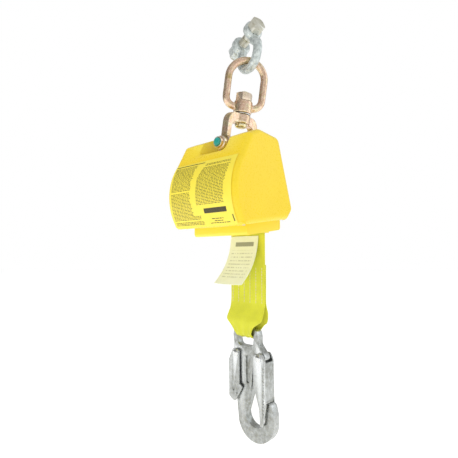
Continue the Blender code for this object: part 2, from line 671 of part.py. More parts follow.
def base_parts(body, look, opening, screws):
    y_low, y_high = opening[0] + GAP, opening[1] - GAP
    rise = PAN_THICK
    plate = [(y_low, base_height(y_low) + 1), (y_high, base_height(y_high) + 1),
             (y_high, base_height(y_high) + 1 + rise), (y_low, base_height(y_low) + 1 + rise)]
    slab = prism(plate, HOUSING_LEFT + WALL + GAP, HOUSING_RIGHT - WALL - GAP)
    pan = put("base_pan", slab, body, look["pan"])

    def lip(shrink, depth, top):
        front, back = LIP_FRONT + shrink, LIP_BACK - shrink
        floor = LIP_DEPTH - depth
        return filleted([(front, base_height(front, floor), 3), (back, base_height(back, floor), 3),
                         (back, base_height(back) + top, 0), (front, base_height(front) + top, 0)], 3)

    join(pan, put("lip_shape", prism(lip(0, 0, 2.0), LIP_LEFT, LIP_RIGHT), body))
    hollow = prism(lip(PAN_WALL, PAN_WALL, 12.0), LIP_LEFT + PAN_WALL, LIP_RIGHT - PAN_WALL)
    cut(pan, put("pan_hollow", hollow, body))
    slot_x = WEB_WIDTH / 2 + GAP + GUIDE_WALL
    slot_y = WEB_THICK / 2 + 1.2 + GUIDE_WALL
    cut(pan, put("web_slot", block((CENTRE_X - slot_x - GAP, WEB_Y - slot_y - GAP, -110),
                                   (CENTRE_X + slot_x + GAP, WEB_Y + slot_y + GAP, -70)), body))
    fasteners = []
    for x, y in screws:
        face = base_height(y) + 1
        seat = face + 1.0
        clearance = rod(SCREW_RADIUS + GAP, face - 3, face + 9, 'Z', (x, y, 0), 12)
        cut(pan, put("screw_clearance", clearance, body))
        recess = rod(SCREW_HEAD_RADIUS + GAP, face - 6, seat, 'Z', (x, y, 0), 12)
        cut(pan, put("screw_counterbore", recess, body))
        head = seat - GAP
        profile = [(0, head - SCREW_HEAD_HEIGHT), (SCREW_HEAD_RADIUS, head - SCREW_HEAD_HEIGHT),
                   (SCREW_HEAD_RADIUS, head), (SCREW_RADIUS, head), (SCREW_RADIUS, head + SCREW_LENGTH),
                   (0, head + SCREW_LENGTH)]
        fasteners.append(turned(profile, 'Z', (x, y, 0), 12))
    for number, fastener in enumerate(fasteners, 1):
        put("base_screw_%d" % number, fastener, body, look["rivet"])

    middle = base_height(WEB_Y, LIP_DEPTH)
    low, high = middle - 1.5, middle + GUIDE_HEIGHT - 1.5
    frame_block = block((CENTRE_X - slot_x, WEB_Y - slot_y, low), (CENTRE_X + slot_x, WEB_Y + slot_y, high))
    guide = put("web_guide", frame_block, body, look["guide"])
    mouth = block((CENTRE_X - WEB_WIDTH / 2 - GAP, WEB_Y - slot_y + GUIDE_WALL, low - 2),
                  (CENTRE_X + WEB_WIDTH / 2 + GAP, WEB_Y + slot_y - GUIDE_WALL, high + 2))
    cut(guide, put("guide_mouth", mouth, body))


def inner_frame(body, look):
    lug = YOKE_LUG_WIDTH / 2
    reach = CLEVIS_INNER - GAP
    floor = SLOT_FLOOR - WALL + 0.6 - GAP
    width = PLATE_INNER - GAP
    foot = floor - YOKE_BASE
    bar = block((CENTRE_X - width, -YOKE_HALF, foot), (CENTRE_X + width, YOKE_HALF, floor))
    yoke = put("yoke", bar, body, look["steel"])
    crown = lug * 0.9
    lug_outline = filleted([(-lug, foot + 1, 0), (lug, foot + 1, 0), (lug, lug, crown),
                            (-lug, lug, crown)], 5)
    join(yoke, put("yoke_lug_shape", prism(lug_outline, -reach, reach, 'XZ'), body))
    cut(yoke, put("yoke_bore", rod(PIN_RADIUS + GAP, -30, 30, 'Y', sides=20), body))
    plate_line = filleted([(-24, -70, 6), (6, -70, 6), (18, -56, 6), (16, floor, 4), (-16, floor, 4),
                           (-28, -44, 8)], 3)
    rivets = []
    for side, name in ((-1, "left"), (1, "right")):
        low, high = sorted((CENTRE_X + side * PLATE_INNER, CENTRE_X + side * PLATE_OUTER))
        plate = put("side_plate_" + name, prism(plate_line, low, high), body, look["steel"])
        hole = rod(BUSH_RADIUS + GAP, low - 5, high + 5, 'X', (0, DRUM_Y, DRUM_Z), 24)
        cut(plate, put("bush_hole", hole, body))
        inner_end = PLATE_INNER - BUSH_PROUD
        bush_low, bush_high = sorted(CENTRE_X + side * end for end in (inner_end, inner_end + BUSH_LENGTH))
        bush = tube(BUSH_RADIUS, AXLE_RADIUS + GAP, bush_low, bush_high, 'X', (0, DRUM_Y, DRUM_Z))
        put("axle_bush_" + name, bush, body, look["brass_rivet"])
        for y in (-7.5, 7.5):
            height = (foot + floor) / 2
            start = CENTRE_X + side * (width - 6)
            stop = CENTRE_X + side * (PLATE_OUTER + 1.6)
            rivet = rod(1.0, min(start, stop), max(start, stop), 'X', (0, y, height), 10)
            rivets.append(rivet)
            hole = rod(1.0 + GAP, min(start, stop) - GAP, max(start, stop) + 3, 'X', (0, y, height), 10)
            tool = put("rivet_hole", hole, body)
            cut(plate, tool)
            cut(yoke, tool)
    for number, rivet in enumerate(rivets, 1):
        put("frame_rivet_%d" % number, rivet, body, look["rivet"])


def ratchet_parts(body, look):
    centre = (0, DRUM_Y, DRUM_Z)
    low = CENTRE_X - PLATE_OUTER - LINING_THICK - 2 * GAP - RATCHET_THICK
    teeth = []
    for tooth in range(RATCHET_TEETH):
        start = 2 * math.pi * tooth / RATCHET_TEETH
        stop = start + 2 * math.pi / RATCHET_TEETH
        for share, radius in ((0.0, RATCHET_TIP), (0.04, RATCHET_ROOT), (0.35, RATCHET_ROOT),
                              (0.7, RATCHET_TIP + 0.8)):
            angle = start + (stop - start) * share
            teeth.append((DRUM_Y + radius * math.cos(angle), DRUM_Z + radius * math.sin(angle)))
    disc = rod(RATCHET_RADIUS, low, low + RATCHET_THICK, 'X', centre, ROUND)
    ring = put("ratchet_ring", disc, body, look["steel"])
    cut(ring, put("ratchet_teeth_shape", prism(teeth, low - 3, low + RATCHET_THICK + 3), body))
    lining = low + RATCHET_THICK + GAP
    pad = tube(RATCHET_RADIUS, RATCHET_ROOT + 0.5, lining, lining + LINING_THICK, 'X', centre)
    put("brake_lining", pad, body, look["lining"])
    return low


def spring_parts(body, look):
    centre = (0, DRUM_Y, DRUM_Z)
    low = CENTRE_X + PLATE_OUTER + 1.6 + 2 * GAP + 1.4
    high = low + SPRING_CASE_DEPTH
    bore = AXLE_RADIUS + GAP
    case = [(SPRING_CASE_RADIUS, low), (SPRING_CASE_RADIUS, high), (SPRING_CASE_RADIUS - CASE_WALL, high),
            (SPRING_CASE_RADIUS - CASE_WALL, low + CASE_WALL), (bore, low + CASE_WALL), (bore, low)]
    put("spring_case", turned(case, 'X', centre), body, look["aluminium"])
    lid = tube(SPRING_CASE_RADIUS, bore, high + GAP, high + GAP + CASE_WALL, 'X', centre)
    put("spring_cover", lid, body, look["aluminium"])
    steps = 16 * SPRING_TURNS
    outside, inside = [], []
    for k in range(steps + 1):
        angle = 2 * math.pi * k / 16
        radius = SPRING_INNER + (SPRING_OUTER - SPRING_INNER) * k / steps
        spoke = Vector((math.cos(angle), math.sin(angle)))
        middle = Vector((DRUM_Y, DRUM_Z))
        outside.append(tuple(middle + spoke * (radius + SPRING_STRIP / 2)))
        inside.append(tuple(middle + spoke * (radius - SPRING_STRIP / 2)))
    strip = prism(outside + inside[::-1], low + CASE_WALL + GAP, high - GAP)
    put("power_spring", strip, body, look["spring_steel"])
    return high


# ---------------------------------------------------------------- drum, pawls

def drum_parts(body, look, ratchet_low, spring_high):
    half = WEB_WIDTH / 2 + GAP
    shift = -CENTRE_X
    left = ratchet_low + shift - 1.0
    right = spring_high + shift + 2.0
    hub = [(0, left), (AXLE_RADIUS, left), (AXLE_RADIUS, -half), (HUB_RADIUS, -half), (HUB_RADIUS, half),
           (AXLE_RADIUS, half), (AXLE_RADIUS, right), (0, right)]
    put("drum_axle", turned(hub, 'X', sides=24), body, look["steel"])
    for side, name in ((-1, "left"), (1, "right")):
        low, high = sorted((side * (half + GAP), side * (half + GAP + FLANGE_THICK - GAP)))
        flange = tube(FLANGE_RADIUS, AXLE_RADIUS + GAP, low, high, 'X')
        put("drum_flange_" + name, flange, body, look["aluminium"])
    pack = tube(PACK_RADIUS, HUB_RADIUS + GAP, -WEB_WIDTH / 2, WEB_WIDTH / 2, 'X', sides=40)
    put("web_pack", pack, body, look["web"])
    start = ratchet_low + shift
    carrier = tube(CARRIER_RADIUS, AXLE_RADIUS + GAP, start - CARRIER_THICK - GAP, start - GAP, 'X')
    put("pawl_carrier", carrier, body, look["steel"])
    return start


def pawl_parts(frames, look, start):
    """Two centrifugal pawls that swing outwards into the ratchet ring's teeth, on pins in the carrier."""
    for letter in ("a", "b"):
        body = frames["pawl_" + letter]
        outline = filleted([(-2.4, -2.6, 1.6), (2.4, -2.6, 1.6), (3.6, 1.5, 1.0), (1.2, 9.6, 0.6),
                            (-1.6, 9.0, 0.8)], 3)
        low = start + GAP
        pawl = put("pawl_" + letter, prism(outline, low, low + PAWL_THICK), body, look["steel"])
        bore = rod(PAWL_PIN_RADIUS + GAP, low - 2, low + PAWL_THICK + 2, 'X', sides=10)
        cut(pawl, put("pawl_bore", bore, body))


def pawl_pins(frames, look, start):
    drum = frames["drum"]
    carrier = bpy.data.objects["pawl_carrier"]
    for letter, side in (("a", 1), ("b", -1)):
        place = (0, side * PAWL_PIVOT, 0)
        low = start - CARRIER_THICK - 2 * GAP - 0.4
        put("pawl_pin_" + letter, rod(PAWL_PIN_RADIUS, low, start + PAWL_THICK + 0.4, 'X', place, 10), drum,
            look["rivet"])
        hole = rod(PAWL_PIN_RADIUS + GAP, low - 2, start + 2, 'X', place, 10)
        cut(carrier, put("pawl_pin_hole", hole, drum))


# ---------------------------------------------------------------- web

def web_parts(frames, look):
    housing, line = frames["housing"], frames["line"]
    exit_point = Vector((WEB_Y, base_height(WEB_Y, LIP_DEPTH) + GUIDE_HEIGHT - 1.5 + 0.6))
    centre = Vector((DRUM_Y, DRUM_Z))
    radius = PACK_RADIUS + GAP + WEB_THICK / 2
    reach = exit_point - centre
    bearing = math.atan2(reach.y, reach.x)
    spread = math.acos(radius / reach.length)
    touch_angle = bearing + spread
    touch = centre + radius * Vector((math.cos(touch_angle), math.sin(touch_angle)))
    wrap = [tuple(centre + radius * Vector((math.cos(touch_angle + a), math.sin(touch_angle + a))))
            for a in (0.48, 0.32, 0.16)]
    path = wrap + [tuple(touch), tuple(exit_point), (WEB_Y, STRAP_TOP + GAP)]
    put("web_inner_run", ribbon(path, [WEB_WIDTH] * len(path), WEB_THICK, CENTRE_X), housing, look["web"])
    strap = ribbon([(0, STRAP_TOP), (0, STRAP_BOTTOM)], [WEB_WIDTH] * 2, WEB_THICK)
    put("web_strap", strap, line, look["web"])

    eye = LOOP_CENTRE_Z
    bend = math.hypot(EYE_BAR_RADIUS, HOOK_THICK / 2) + 2 * GAP + WEB_THICK / 2
    front_top = STRAP_BOTTOM - GAP
    steps = 8
    turn = arc((0, eye), bend, 180, 360, steps)
    ply = WEB_THICK + GAP
    path = [(0, front_top), (0, SHOULDER_Z + 22), (-bend * 0.55, SHOULDER_Z + 8), (-bend, SHOULDER_Z)]
    path += turn
    path += [(bend, SHOULDER_Z), (bend * 0.75 + 0.2, SHOULDER_Z + 8), (ply, SHOULDER_Z + 22)]
    path += [(ply, TAIL_PLY_TOP)]
    shoulder = WEB_WIDTH * 0.92
    widths = [WEB_WIDTH] * 3 + [shoulder] + [LOOP_WIDTH] * (steps + 1) + [shoulder] + [WEB_WIDTH] * 3
    put("web_tail", ribbon(path, widths, WEB_THICK), line, look["web"])
    wide, tall = TAG_SIZE
    pieces = 9
    y, z = -WEB_THICK / 2 - GAP - TAG_THICK / 2, TAG_TOP
    path = [(y, z)]
    for piece in range(pieces):
        lean = math.radians(TAG_LEAN[0] + TAG_LEAN[1] * min(1.25 * (piece + 0.5) / pieces, 1.0))
        y -= math.sin(lean) * tall / pieces
        z -= math.cos(lean) * tall / pieces
        path.append((y, z))
    put("web_tag", ribbon(path, [wide] * len(path), TAG_THICK, TAG_SHIFT), line, look["tag"])


# ---------------------------------------------------------------- snap hook

def hook_outline():
    """Outer line of the hook's flat body, from the eye round the horn, throat, bowl and nose to the spine."""
    eye = [(-EYE_HALF, -4, 4), (-EYE_HALF + 1.5, EYE_BAR_RADIUS, 4), (EYE_HALF - 1.5, EYE_BAR_RADIUS, 4),
           (EYE_HALF, -4, 4), (EYE_HALF, -11, 4)]
    horn = [(x, z, 0) for x, z in arc(GATE_PIVOT, HORN_RADIUS, 60, -130, 9)]
    throat = [(10.5, -34, 3), (7.5, -60, 8)]
    bowl_in = [(x, z, 0) for x, z in arc((13.2, -82), 12.5, 178, 345, 9)]
    nose = [(26, -68, 2), (33, -66, 4), (36.4, -78, 6)]
    bowl_out = [(x, z, 0) for x, z in arc((13.5, -86.4), 23.0, -5, -165, 11)]
    spine = [(-11.5, -68, 8), (-11.5, -48, 10), (-15.8, -30, 8), (-15.4, -12, 5)]
    return filleted(sized(eye + horn + throat + bowl_in + nose + bowl_out + spine), 3)


def channel(points, half, sheet, name, body, look, hollow):
    """A stamped channel: an outline over the full width, opened from one side by a hollow outline."""
    shape = put(name, prism(points, -half, half, 'XZ'), body, look)
    cut(shape, put(name + "_hollow", prism(hollow, -half + sheet, half - sheet, 'XZ'), body))
    return shape


def hook_parts(frames, look):
    body = frames["hook"]
    half = HOOK_THICK / 2
    hook = put("hook_body", prism(hook_outline(), -half, half, 'XZ'), body, look["zinc"])
    hole = filleted(sized([(-EYE_HOLE_HALF, -EYE_BAR_RADIUS, 3), (EYE_HOLE_HALF, -EYE_BAR_RADIUS, 3),
                           (EYE_HOLE_HALF - 2, -14.5, 5), (-EYE_HOLE_HALF + 2, -14.5, 5)]), 3)
    cut(hook, put("eye_hole", prism(hole, -9, 9, 'XZ'), body))
    bore = RIVET_RADIUS + GAP
    gate_pivot, lever_pivot = sized([GATE_PIVOT, LEVER_PIVOT])
    for x, z in (gate_pivot, lever_pivot):
        cut(hook, put("pivot_bore", rod(bore, -12, 12, 'Y', (x, 0, z), 12), body))
    outer = CHANNEL_WIDTH / 2
    for name, (x, z) in (("gate_rivet", gate_pivot), ("lever_rivet", lever_pivot)):
        head = outer + GAP
        crown = head + RIVET_CROWN
        profile = [(0, -crown), (RIVET_HEAD - 1.2, -crown), (RIVET_HEAD, -head), (RIVET_RADIUS, -head),
                   (RIVET_RADIUS, head), (RIVET_HEAD, head), (RIVET_HEAD - 1.2, crown), (0, crown)]
        put(name, turned(profile, 'Y', (x, 0, z), 16), body, look["rivet"])
    for name, (x, z), lean in (("gate_spring", gate_pivot, -4.0), ("lever_spring", lever_pivot, -6.0)):
        coil = tube(RIVET_HEAD, bore, half + GAP, outer - SHEET - GAP, 'Y', (x, 0, z), 16)
        spring = put(name, coil, body, look["spring_steel"])
        low, high = half + GAP, outer - SHEET - GAP
        foot = x + lean * 0.4
        leg = [(x - 0.5, z - 3.0), (x + 0.5, z - 3.0), (foot + 0.5, z - 16), (foot - 0.5, z - 16)]
        join(spring, put(name + "_leg_shape", prism(leg, low, high, 'XZ'), body))
    return hook


def gate_parts(frames, look):
    body = frames["gate"]
    outer = CHANNEL_WIDTH / 2
    outline = filleted([(-6.5, 3.5, 4), (5, 5.5, 4), (8.5, -2, 3), (9.0, -38, 3), (9.8, -45, 1),
                        (5.5, -66.5, 2.0), (1.8, -66.5, 1.2), (0.8, -50, 2), (-6.5, -28, 4)], 3)
    hollow = [(-12, 12), (14, 12), (14, -3.5), (7.2, -3.5), (7.4, -41.5), (20, -41.5), (20, -80), (-12, -80)]
    gate = channel(sized(outline), outer, SHEET, "gate", body, look["zinc"], sized(hollow))
    cut(gate, put("gate_bore", rod(RIVET_RADIUS + GAP, -12, 12, 'Y', sides=12), body))


def lever_parts(frames, look):
    body = frames["lever"]
    outer = CHANNEL_WIDTH / 2
    outline = filleted([(-4.2, 4.2, 3.5), (4.2, 4.2, 3.5), (4.6, -31, 1.5), (9.0, -34, 1.5), (-1.5, -51, 2),
                        (-9.2, -46, 3), (-9.6, -8, 3)], 3)
    hollow = [(12, 12), (-14, 12), (-14, -8), (-8.0, -8), (-7.6, -46), (-7.6, -70), (14, -70)]
    lever = channel(sized(outline), outer, SHEET, "lock_lever", body, look["zinc"], sized(hollow))
    cut(lever, put("lever_bore", rod(RIVET_RADIUS + GAP, -12, 12, 'Y', sides=12), body))


def build():
    clear_scene()
    look = looks()
    frames = body_frames()
    shackle_parts(frames["shackle"], look)
    swivel_eye(frames["ring"], look)
    clevis_parts(frames["clevis"], look)
    opening, screws = shell_parts(frames["housing"], look)
    base_parts(frames["housing"], look, opening, screws)
    inner_frame(frames["housing"], look)
    ratchet_low = ratchet_parts(frames["housing"], look)
    spring_high = spring_parts(frames["housing"], look)
    start = drum_parts(frames["drum"], look, ratchet_low, spring_high)
    pawl_parts(frames, look, start)
    pawl_pins(frames, look, start)
    web_parts(frames, look)
    hook_parts(frames, look)
    gate_parts(frames, look)
    lever_parts(frames, look)


build()
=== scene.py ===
"""Looks of the self-retracting web lifeline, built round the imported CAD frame.

Shapes are drawn in millimetres in their own axes, and place() carries them to the row frame in metres.
"""
import math
import random

import bmesh
import bpy
from mathutils import Matrix, Vector, noise


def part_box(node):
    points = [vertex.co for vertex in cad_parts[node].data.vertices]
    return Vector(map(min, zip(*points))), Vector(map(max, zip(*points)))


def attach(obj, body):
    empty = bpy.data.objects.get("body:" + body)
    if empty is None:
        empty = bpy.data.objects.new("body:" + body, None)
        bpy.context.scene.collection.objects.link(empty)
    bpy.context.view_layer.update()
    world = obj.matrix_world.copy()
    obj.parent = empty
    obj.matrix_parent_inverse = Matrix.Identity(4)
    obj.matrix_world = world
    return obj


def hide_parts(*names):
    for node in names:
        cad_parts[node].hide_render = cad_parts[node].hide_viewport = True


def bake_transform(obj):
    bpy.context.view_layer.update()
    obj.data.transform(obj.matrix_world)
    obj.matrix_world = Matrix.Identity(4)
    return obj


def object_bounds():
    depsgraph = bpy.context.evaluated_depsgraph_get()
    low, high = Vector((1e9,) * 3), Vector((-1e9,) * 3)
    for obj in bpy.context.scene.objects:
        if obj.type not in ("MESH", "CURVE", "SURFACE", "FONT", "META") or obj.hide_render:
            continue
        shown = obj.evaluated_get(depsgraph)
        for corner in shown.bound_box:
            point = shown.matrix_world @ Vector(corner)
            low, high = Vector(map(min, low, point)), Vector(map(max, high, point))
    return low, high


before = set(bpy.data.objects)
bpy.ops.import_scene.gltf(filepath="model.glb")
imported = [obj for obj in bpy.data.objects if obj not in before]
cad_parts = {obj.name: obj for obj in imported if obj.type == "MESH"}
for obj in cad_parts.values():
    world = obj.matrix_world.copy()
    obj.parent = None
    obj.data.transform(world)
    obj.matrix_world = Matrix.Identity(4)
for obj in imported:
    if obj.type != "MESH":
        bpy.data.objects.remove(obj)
CAD_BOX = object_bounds()

MM = 0.001
GAP = 0.3

# Driving dimensions of the CAD model that the looks share, in millimetres and degrees
SHACKLE_YAW = -18.0
SHACKLE_TILT = -14.0
CHAIN_LEAN = 9.6
RING_TURN = 52.0
BOW_ROD = 8.8
BOW_RADIUS = 15.4
BOW_DEPTH = 32.9
JAW = 14.4
EAR_RADIUS = 9.4
EAR_THICK = 8.2
EAR_TO_FLARE = 10.6
BOLT_RADIUS = 4.75
HEAD_FLATS = 14.6
HEAD_HEIGHT = 6.2
NUT_FLATS = 14.0
NUT_HEIGHT = 8.4
BOLT_STUB = 4.6
RING_ROD = 7.3
RING_INNER_WIDTH = 29.4
RING_INNER_HEIGHT = 39.5
RING_FOOT_ROUND = 9.5
BOSS_RADIUS = 9.3
BOSS_PROUD = 2.5
CLEVIS_SPAN = 44.8
CLEVIS_LEG = 5.6
CLEVIS_BAR = 8.0
CLEVIS_SHOULDER = 11.0
CLEVIS_EAR_RADIUS = 9.2
BRIDGE_THICK = 9.0
BRIDGE_TO_PIN = 33.0
WASHER_THICK = 1.0
STUD_RADIUS = 4.4
STUD_HEAD_RADIUS = 6.0
STUD_HEAD_HEIGHT = 4.2
SWIVEL_NUT_FLATS = 14.8
SWIVEL_NUT_HEIGHT = 7.4
PIN_RADIUS = 4.9
PIN_HEAD_RADIUS = 6.8
PIN_HEAD_HEIGHT = 7.6
PLUG_RADIUS = 3.9
PLUG_PROUD = 2.2
HOUSING_LEFT = -46.5
HOUSING_RIGHT = 42.5
END_ROUND = 5.5
WALL = 3.0
LABEL_TOP = (-42.4, -19.5)
LABEL_BOTTOM = (-42.0, -83.5)
LABEL_BULGE = 11.0
RIDGE = (-16.8, 7.6)
FRONT_SHOULDER = (-31.0, 1.2)
BACK_TOP = (13.0, 5.2)
BACK_BOTTOM = (36.2, -63.5)
BASE_BACK = (27.5, -73.5)
SLOT_WIDTH = 35.0
SLOT_FLOOR = -12.6
LUG_HALF = 8.8
PAN_THICK = 3.0
LIP_X = (-34.5, 34.0)
LIP_Y = (-27.0, 24.2)
LIP_DEPTH = 9.5
PAN_WALL = 2.4
CENTRE_X = 0.0
WEB_WIDTH = 44.0
WEB_THICK = 1.2
WEB_Y = 15.0
STRAP_TOP = -86.0
STRAP_BOTTOM = -104.0
TAIL_PLY_TOP = -118.0
LOOP_CENTRE = -185.0
TAG_TOP = -89.0
TAG_SIZE = (36.0, 56.0)
TAG_SHIFT = -3.0
HOOK_SIZE = 0.95
EYE_HALF = 16.6
EYE_HOLE_HALF = 11.8
EYE_BAR_RADIUS = 3.2
HOOK_THICK = 8.4
CHANNEL_WIDTH = 14.8
SHEET = 1.6
GATE_PIVOT = (19.5, -24.0)
HORN_RADIUS = 6.2
LEVER_PIVOT = (-10.5, -22.5)
RIVET_RADIUS = 2.2
RIVET_HEAD = 3.5


# ---------------------------------------------------------------- places

def sized(points):
    """Outline points or corners of the hook at its real size."""
    return [tuple(number * HOOK_SIZE for number in point) for point in points]


def turn(degrees, axis):
    return Matrix.Rotation(math.radians(degrees), 4, axis)


def middle(node):
    low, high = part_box(node)
    return (low + high) / 2


RING_TOP = (BOW_ROD + RING_ROD) / 2 + GAP
RING_LOW = RING_INNER_HEIGHT + RING_ROD - RING_TOP
BOSS_LOW = -(RING_LOW + RING_ROD / 2 + BOSS_PROUD)
BOSS_HIGH = BOSS_LOW + RING_ROD + 2 * BOSS_PROUD
PIN_BELOW_BOW = BRIDGE_TO_PIN + WASHER_THICK + 2 * GAP - BOSS_LOW
PIN_POINT = Vector((middle("clevis_pin").x, middle("clevis").y, middle("clevis_pin").z))
LINE_POINT = Vector((middle("web_tail").x, middle("hook_body").y, PIN_POINT.z))
EYE_RISE = EYE_BAR_RADIUS * HOOK_SIZE * MM
HOOK_POINT = Vector((LINE_POINT.x, LINE_POINT.y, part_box("hook_body")[1].z - EYE_RISE))

SHACKLE = turn(SHACKLE_YAW, 'Z') @ turn(SHACKLE_TILT, 'Y')
CLEVIS = Matrix.Translation(PIN_POINT) @ turn(CHAIN_LEAN, 'Y')
EYE = CLEVIS @ Matrix.Translation((0, 0, PIN_BELOW_BOW * MM)) @ turn(RING_TURN, 'Z')
HOUSING = Matrix.Translation(PIN_POINT)
LINE = Matrix.Translation(LINE_POINT)
HOOK = Matrix.Translation(HOOK_POINT)
GATE = Matrix.Translation(middle("gate_rivet"))
LEVER = Matrix.Translation(middle("lever_rivet"))
BASE_SLOPE = (BASE_BACK[1] - LABEL_BOTTOM[1]) / (BASE_BACK[0] - LABEL_BOTTOM[0])


def base_height(y, below=0.0):
    return LABEL_BOTTOM[1] + (y - LABEL_BOTTOM[0]) * BASE_SLOPE - below


# ---------------------------------------------------------------- mesh tools

AXES = {'X': turn(90, 'Y'), 'Y': turn(-90, 'X'), 'Z': Matrix.Identity(4)}


def turned(profile, axis='Z', centre=(0, 0, 0), sides=64, phase=0.0):
    """Turn (radius, height) points about an axis; radius 0 closes an end, else it is a ring."""
    shape = bmesh.new()
    rings = []
    for radius, height in profile:
        if radius == 0:
            rings.append([shape.verts.new((0, 0, height))])
            continue
        angles = [phase + 2 * math.pi * k / sides for k in range(sides)]
        rings.append([shape.verts.new((radius * math.cos(a), radius * math.sin(a), height)) for a in angles])
    pairs = list(zip(rings, rings[1:]))
    if profile[0][0] > 0:
        pairs.append((rings[-1], rings[0]))
    for low, high in pairs:
        for k in range(sides):
            n = (k + 1) % sides
            corners = [low[k % len(low)], low[n % len(low)], high[n % len(high)], high[k % len(high)]]
            corners = [v for i, v in enumerate(corners) if v not in corners[:i]]
            if len(corners) > 2:
                shape.faces.new(corners)
    bmesh.ops.transform(shape, matrix=Matrix.Translation(centre) @ AXES[axis], verts=shape.verts)
    return shape


def eased(radius, low, high, ease, steps=4):
    """Profile of a round bar with rounded rims."""
    rim = [(radius - ease + ease * math.sin(a), ease - ease * math.cos(a))
           for a in [math.pi / 2 * k / steps for k in range(steps + 1)]]
    foot = [(r, low + h) for r, h in rim]
    crown = [(r, high - h) for r, h in reversed(rim)]
    return [(0, low)] + foot + crown + [(0, high)]


def rod(radius, low, high, axis='Z', centre=(0, 0, 0), ease=0.4, sides=64):
    return turned(eased(radius, low, high, ease), axis, centre, sides)


def tube(outer, inner, low, high, axis='Z', centre=(0, 0, 0), ease=0.25, sides=64):
    profile = [(outer - ease, low), (outer, low + ease), (outer, high - ease), (outer - ease, high),
               (inner + ease, high), (inner, high - ease), (inner, low + ease), (inner + ease, low)]
    return turned(profile, axis, centre, sides)


def prism(points, low, high, plane='YZ'):
    build = {'YZ': lambda p, h: (h, p[0], p[1]),
             'XZ': lambda p, h: (p[0], h, p[1]),
             'XY': lambda p, h: (p[0], p[1], h)}[plane]
    shape = bmesh.new()
    first = [shape.verts.new(build(p, low)) for p in points]
    second = [shape.verts.new(build(p, high)) for p in points]
    shape.faces.new(first)
    shape.faces.new(list(reversed(second)))
    for k in range(len(points)):
        n = (k + 1) % len(points)
        shape.faces.new([first[n], first[k], second[k], second[n]])
    return shape


def block(low, high):
    corners = [(low[1], low[2]), (high[1], low[2]), (high[1], high[2]), (low[1], high[2])]
    return prism(corners, low[0], high[0])


def arc(centre, radius, start, stop, steps):
    angles = [math.radians(start + (stop - start) * k / steps) for k in range(steps + 1)]
    return [(centre[0] + radius * math.cos(a), centre[1] + radius * math.sin(a)) for a in angles]


def filleted(corners, steps=8):
    """Round an outline's corners; each is (a, b, radius), a radius of 0 keeps the point."""
    outline = []
    count = len(corners)
    for k, (a, b, radius) in enumerate(corners):
        here = Vector((a, b))
        if radius == 0:
            outline.append((a, b))
            continue
        back = (Vector(corners[k - 1][:2]) - here).normalized()
        ahead = (Vector(corners[(k + 1) % count][:2]) - here).normalized()
        half = back.angle(ahead) / 2
        hub = here + (back + ahead).normalized() * (radius / math.sin(half))
        start = here + back * (radius / math.tan(half)) - hub
        stop = here + ahead * (radius / math.tan(half)) - hub
        for step in range(steps + 1):
            outline.append(tuple(hub + start.slerp(stop, step / steps).normalized() * radius))
    return outline


def inset(points, distance):
    """Move every edge of a convex outline inwards by a distance."""
    centre = sum((Vector(p) for p in points), Vector((0, 0))) / len(points)
    lines = []
    for k, point in enumerate(points):
        here, after = Vector(point), Vector(points[(k + 1) % len(points)])
        along = (after - here).normalized()
        normal = Vector((-along.y, along.x))
        if normal.dot(centre - here) < 0:
            normal = -normal
        lines.append((here + normal * distance, along))
    moved = []
    for k, (spot, along) in enumerate(lines):
        before, run = lines[k - 1]
        span = before - spot
        share = (span.x * run.y - span.y * run.x) / (along.x * run.y - along.y * run.x)
        moved.append(tuple(spot + along * share))
    return moved


def sweep(points, normal, radius, closed=False, sides=28):
    """A round rod along a path in one plane; radius may be a list, one for each point."""
    shape = bmesh.new()
    normal = Vector(normal).normalized()
    path = [Vector(p) for p in points]
    count = len(path)
    radii = radius if isinstance(radius, list) else [radius] * count
    rings = []
    for k, here in enumerate(path):
        if closed:
            along = path[(k + 1) % count] - path[k - 1]
        else:
            along = path[min(k + 1, count - 1)] - path[max(k - 1, 0)]
        side = normal.cross(along.normalized())
        angles = [2 * math.pi * s / sides for s in range(sides)]
        rings.append([shape.verts.new(here + (side * math.cos(a) + normal * math.sin(a)) * radii[k])
                      for a in angles])
    pairs = list(zip(rings, rings[1:]))
    if closed:
        pairs.append((rings[-1], rings[0]))
    else:
        shape.faces.new(rings[0])
        shape.faces.new(list(reversed(rings[-1])))
    for low, high in pairs:
        for s in range(sides):
            n = (s + 1) % sides
            shape.faces.new([low[s], low[n], high[n], high[s]])
    return shape


def merged(shapes):
    """Several solids held in one bmesh."""
    whole = shapes[0]
    for shape in shapes[1:]:
        mesh = bpy.data.meshes.new("merge")
        shape.to_mesh(mesh)
        shape.free()
        whole.from_mesh(mesh)
        bpy.data.meshes.remove(mesh)
    return whole


def put(name, shape, place, look=None):
    bmesh.ops.recalc_face_normals(shape, faces=shape.faces)
    bmesh.ops.scale(shape, vec=(MM,) * 3, verts=shape.verts)
    bmesh.ops.transform(shape, matrix=place, verts=shape.verts)
    mesh = bpy.data.meshes.new(name)
    shape.to_mesh(mesh)
    shape.free()
    item = bpy.data.objects.new(name, mesh)
    bpy.context.scene.collection.objects.link(item)
    if look is not None:
        mesh.materials.append(look)
    return item


def applied(item):
    """Replace the mesh by its evaluated one and drop the modifiers."""
    bpy.context.view_layer.update()
    evaluated = item.evaluated_get(bpy.context.evaluated_depsgraph_get())
    mesh = bpy.data.meshes.new_from_object(evaluated)
    item.modifiers.clear()
    item.data = mesh
    return item


def boolean(item, shape, place, operation='DIFFERENCE'):
    tool = put("tool", shape, place)
    step = item.modifiers.new("step", 'BOOLEAN')
    step.operation = operation
    step.solver = 'EXACT'
    step.object = tool
    applied(item)
    bpy.data.objects.remove(tool, do_unlink=True)
    return item


